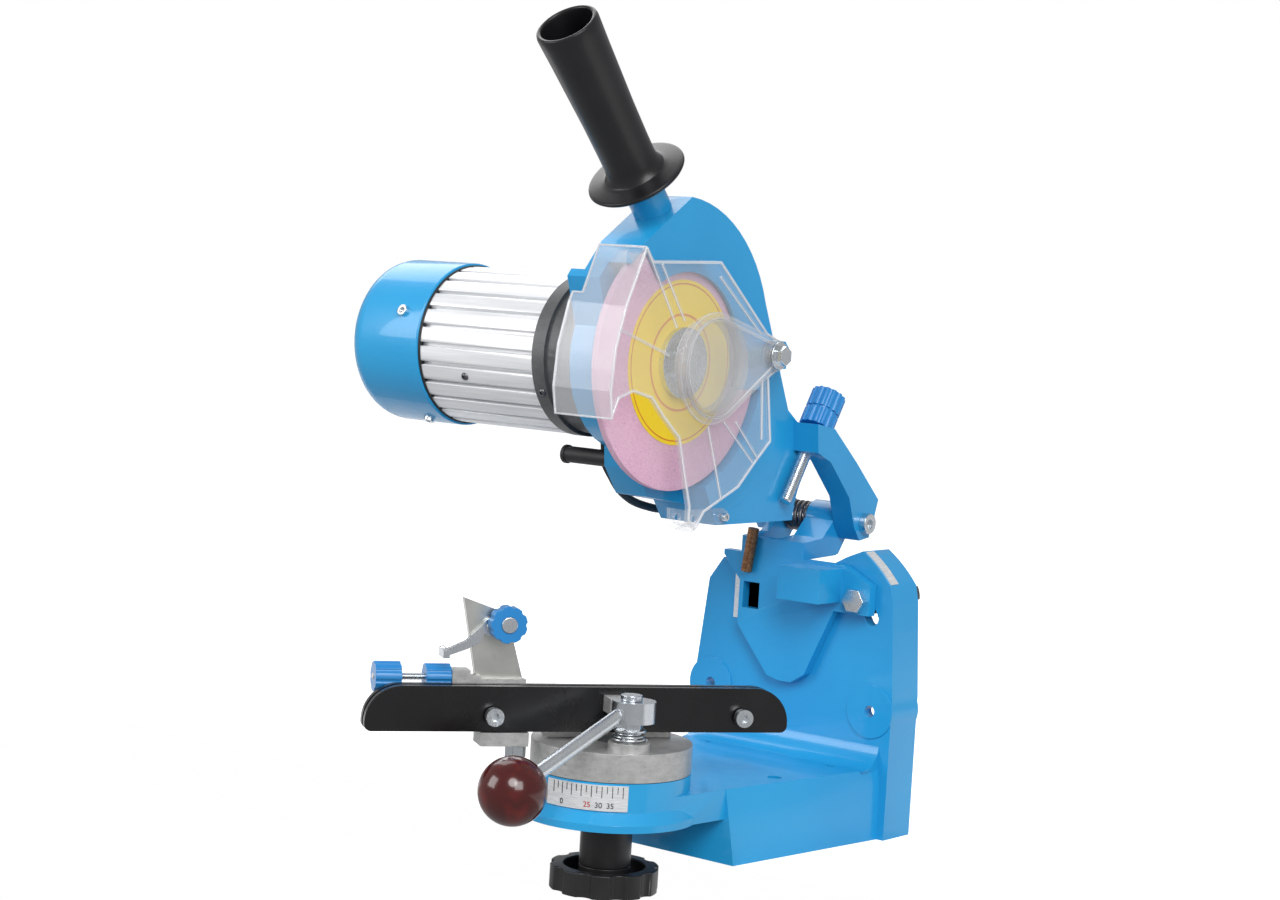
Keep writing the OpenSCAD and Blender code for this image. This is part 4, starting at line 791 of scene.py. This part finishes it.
def makeMotor():
    rounded("motorHousing", "motor_housing", "arm", "finMetal", 0.3, 1)
    rounded("motorFlange", "motor_flange", "arm", "flangeCasting", 0.6)
    # cap: drawn cup with a wide round shoulder
    turn = Matrix.Translation((0, -0.087, 0.277)) @ Matrix.Rotation(radians(-90), 4, "Y")
    radius, end, bend = motorSet["radius"], motorSet["end"], motorSet["shoulder"]
    shell = [(40, 155.05), (47.6, 155.05), (48.4, 155.6), (radius, 157)]
    shell += [(radius - bend + bend * cos(radians(a)), end - bend + bend * sin(radians(a)))
              for a in range(0, 91, 9)]
    shell += [(20, end), (0, end), (0, end - 3), (40, end - 3)]
    piece("motorCap", lathe(shell, turn, 96), "arm", "enamel", ["motor_cap"], 0.2)
    rounded("motorScrews", "motor_screws", "arm", "zinc", 0.35)
    # black ring between fins and cap with a block filling each groove's end: painted shade where the grooves
    # meet the cap
    grooveShade = lathe([(44, 153.6), (47.2, 153.6), (47.2, 155.0), (44, 155.0)], turn, 96)
    for i in range(motorSet["teeth"]):
        spot = (turn @ Matrix.Rotation(2 * pi * i / motorSet["teeth"], 4, "Z")
                @ Matrix.Translation(mm(44.9, 0, 150.4)))
        join(grooveShade, block((3.0, 2.5, 7.4), spot))
    piece("capGrooveShade", grooveShade, "arm", "rubber", (), 0.15)
    for name, x, reach, fall in motorSet["screws"]:
        way = Vector((0, -cos(radians(fall)), -sin(radians(fall))))
        head = lathe([(0, -2.5), (2.4, -2.5), (2.4, 0.5), (1.9, 1.2), (1.1, 1.5), (1.0, 0.7), (0, 0.7)],
                     Matrix.Translation(mm(x, -87, 277) + way * reach * 0.001)
                     @ way.to_track_quat("Z", "Y").to_matrix().to_4x4(), 24)
        piece(name, head, "arm", "darkSteel")
    for name in ("stator", "rotor", "bearings"):
        dress(name, "copper" if name == "stator" else "zinc")


makeMotor()
print("motor made")


def makeWheel():
    wheel = [(11.1, -2.35), (71.6, -2.35), (72.3, -2.0), (72.5, -1.2), (72.5, 1.2), (72.3, 2.0), (71.6, 2.35),
             (11.1, 2.35)]
    piece("grindingWheel", lathe(wheel, wheelFrame, 160), "wheel", "abrasive", ["grinding_wheel"])
    dress("wheel_label", "labelPaper")
    rounded("wheelNut", "wheel_nut", "wheel", "zinc", 0.5)
    dress("inner_flange", "zinc")


guardSet = {
    "face": 20.2, "rib": 1.5, "proud": 1.6,
    # rib ends as (y, z, y, z)
    "ribs": [(-145.8, 339.4, -115.6, 297.1), (-132.1, 331.4, -108.9, 301), (-81.9, 242.6, -65.4, 200.7),
             (-67.3, 244.9, -37.7, 221.5), (-56, 244.8, -32.5, 223.3), (-78.9, 326.2, -36.9, 295),
             (-32.9, 269, -29.9, 234.4), (-165.3, 295.3, -121.1, 281.9)],
    # the guard's edge as (y, z), and the free edge of its wall as (x, y, z)
    "edge": [(-146, 340.6), (-138.8, 332.9), (-78, 335), (-30, 296), (-14, 290), (-14, 276), (-26, 270),
             (-20, 233), (-35, 220), (-49, 207), (-80, 194), (-88, 184), (-95, 190), (-95, 198),
             (-101.6, 217), (-107.7, 236), (-123, 248), (-134, 258), (-150, 261.6), (-161.6, 258),
             (-167, 247), (-170, 262), (-168, 285), (-161, 308)],
    "wall": [(20, -166.4, 247.4), (-19.6, -166.4, 247.4), (-19.6, -169.2, 262), (-19.6, -167.2, 285),
             (-19.6, -160.4, 307.6), (-19.6, -157.4, 313.6), (-12.6, -157.4, 313.6), (-12.6, -145.6, 339.8),
             (20, -145.6, 339.8)],
    "cone": {"middle": (-80, 275), "radius": 31.5, "bolt": (-23.8, 284), "tip": 8.5, "high": 5.5},
}


def coneOutline(grow):
    # tear shape round the bulge and the bolt
    cone = guardSet["cone"]
    (ay, az), (by, bz) = cone["middle"], cone["bolt"]
    big, small = cone["radius"] + grow, cone["tip"] + grow
    toward = atan2(bz - az, by - ay)
    lean = acos((big - small) / hypot(by - ay, bz - az))
    dots = [(ay + big * cos(toward + lean + (2 * pi - 2 * lean) * k / 40),
             az + big * sin(toward + lean + (2 * pi - 2 * lean) * k / 40)) for k in range(41)]
    return dots + [(by + small * cos(toward - lean + 2 * lean * k / 12),
                    bz + small * sin(toward - lean + 2 * lean * k / 12)) for k in range(13)]


def inset(line, by):
    # a closed outline moved inward, its corners mitred
    area = sum(a[0] * b[1] - b[0] * a[1] for a, b in zip(line, line[1:] + line[:1]))
    sign = 1 if area > 0 else -1
    out = []
    for a, b, c in zip(line[-1:] + line[:-1], line, line[1:] + line[:1]):
        u, v = (Vector(b) - Vector(a)).normalized(), (Vector(c) - Vector(b)).normalized()
        m = Vector((-u.y - v.y, u.x + v.x)).normalized() * sign
        out.append(Vector(b) + m * by / max(0.5, m.dot(Vector((-u.y, u.x)) * sign)))
    return out


def makeGuard():
    rounded("wheelGuard", "wheel_guard", "arm", "clearPlastic", 0.85, 2)
    rounded("guardBolt", "guard_bolt", "arm", "zinc", 0.4)
    face, width, proud = guardSet["face"], guardSet["rib"], guardSet["proud"]
    ribs = bmesh.new()
    for ay, az, by, bz in guardSet["ribs"]:
        long, lean = hypot(by - ay, bz - az), atan2(bz - az, by - ay)
        spot = mm(face + proud / 2 - 0.2, (ay + by) / 2, (az + bz) / 2)
        join(ribs, block((proud, long, width), Matrix.Translation(spot) @ Matrix.Rotation(lean, 4, "X")))
    piece("guardRibs", ribs, "arm", "clearRib", (), 0.4)
    # beads along the guard's edge and its wall's free edge, in the brighter clear finish: painted highlight
    # lines
    highlightBead = rimOf(inset(guardSet["edge"], 0.15), inset(guardSet["edge"], 1.65), face - 0.1, face + 0.8)
    piece("guardHighlightBead", highlightBead, "arm", "clearRimHighlight", (), 0.3)
    wire("guardWallHighlightBead", guardSet["wall"], 1.3, "arm", "clearRimHighlight", handle="VECTOR")
    # raised tear-shaped land that ties the bulge to the bolt, and the bulge's ring
    shells = slab(coneOutline(0), face - 0.2, face + 2.2, sideways)
    join(shells, rimOf(coneOutline(-3.2), coneOutline(-4.7), face + 2.2, face + 3.6))
    piece("guardLand", shells, "arm", "clearRib", (), 0.3)


makeWheel()
makeGuard()
print("wheel and guard made")


stageSet = {
    "benchPlace": (0, 5.92, -0.02), "benchSize": (14, 12, 0.04), "aim": (0, -0.06, 0.2),
    "glow": 0.56, "sky": 0.40, "sun": 1.35, "sunTurn": (50, 8, 34), "sunSpread": 28,
    "lamps": [("keyLamp", (1.5, -1.0, 1.0), 0.9, 14), ("frontLamp", (-1.0, -1.5, 0.8), 0.9, 12),
              ("edgeLamp", (-0.9, 0.5, 1.3), 1.2, 10)],
}


def stageFinish():
    # pale bench top, shown white to the camera, keeping the shadow
    f = Finish("stageFinish")
    grain = f.noise(3, 2)
    path = f.add("ShaderNodeLightPath", out="Is Camera Ray")
    return f.paint(Base_Color=f.mix(grain, (0.80, 0.80, 0.80, 1), (0.82, 0.82, 0.82, 1)), Roughness=0.95,
                   Specular_IOR_Level=0.1,
                   Emission_Color=f.mix(path, (0, 0, 0, 1), (1, 1, 1, 1)), Emission_Strength=stageSet["glow"])


def edgeFinish():
    # the bench's front face is as white as the background
    f = Finish("benchEdge")
    tone = f.noise(3, 2)
    return f.paint(Base_Color=(0, 0, 0, 1), Roughness=1.0, Specular_IOR_Level=0.0,
                   Emission_Color=f.mix(tone, (1, 1, 1, 1), (0.99, 0.99, 0.99, 1)), Emission_Strength=1.0)


def makeStage():
    bm = bmesh.new()
    place = Matrix.Translation(stageSet["benchPlace"]) @ Matrix.Diagonal((*stageSet["benchSize"], 1))
    bmesh.ops.create_cube(bm, size=1, matrix=place)
    bm.normal_update()
    for face in bm.faces:
        face.material_index = 0 if face.normal.z > 0.5 else 1
    mesh = bpy.data.meshes.new("bench")
    bm.to_mesh(mesh)
    bm.free()
    mesh.materials.append(stageFinish().material)
    mesh.materials.append(edgeFinish().material)
    bench = bpy.data.objects.new("bench", mesh)
    scene.collection.objects.link(bench)
    world = bpy.data.worlds.new("studio")
    scene.world = world
    world.use_nodes = True
    tree = world.node_tree
    path = tree.nodes.new("ShaderNodeLightPath")
    most = tree.nodes.new("ShaderNodeMath")
    most.operation = "MAXIMUM"
    tree.links.new(path.outputs["Is Camera Ray"], most.inputs[0])
    tree.links.new(path.outputs["Is Transmission Ray"], most.inputs[1])
    shell = tree.nodes["Background"]
    seen = tree.nodes.new("ShaderNodeBackground")
    seen.inputs["Color"].default_value, seen.inputs["Strength"].default_value = (1, 1, 1, 1), 1.0
    shell.inputs["Color"].default_value = (0.97, 0.98, 1, 1)
    shell.inputs["Strength"].default_value = stageSet["sky"]
    blend = tree.nodes.new("ShaderNodeMixShader")
    tree.links.new(most.outputs[0], blend.inputs[0])
    tree.links.new(shell.outputs[0], blend.inputs[1])
    tree.links.new(seen.outputs[0], blend.inputs[2])
    tree.links.new(blend.outputs[0], tree.nodes["World Output"].inputs["Surface"])
    sun = bpy.data.lights.new("softSun", "SUN")
    sun.energy, sun.angle = stageSet["sun"], radians(stageSet["sunSpread"])
    lamp = bpy.data.objects.new("softSun", sun)
    lamp.rotation_euler = [radians(a) for a in stageSet["sunTurn"]]
    scene.collection.objects.link(lamp)
    for name, place, size, power in stageSet["lamps"]:
        data = bpy.data.lights.new(name, "AREA")
        data.size, data.energy = size, power
        lamp = bpy.data.objects.new(name, data)
        lamp.location = place
        lamp.rotation_mode = "QUATERNION"
        lamp.rotation_quaternion = (Vector(place) - Vector(stageSet["aim"])).to_track_quat("Z", "Y")
        scene.collection.objects.link(lamp)


makeStage()
scene.view_settings.view_transform = "Standard"
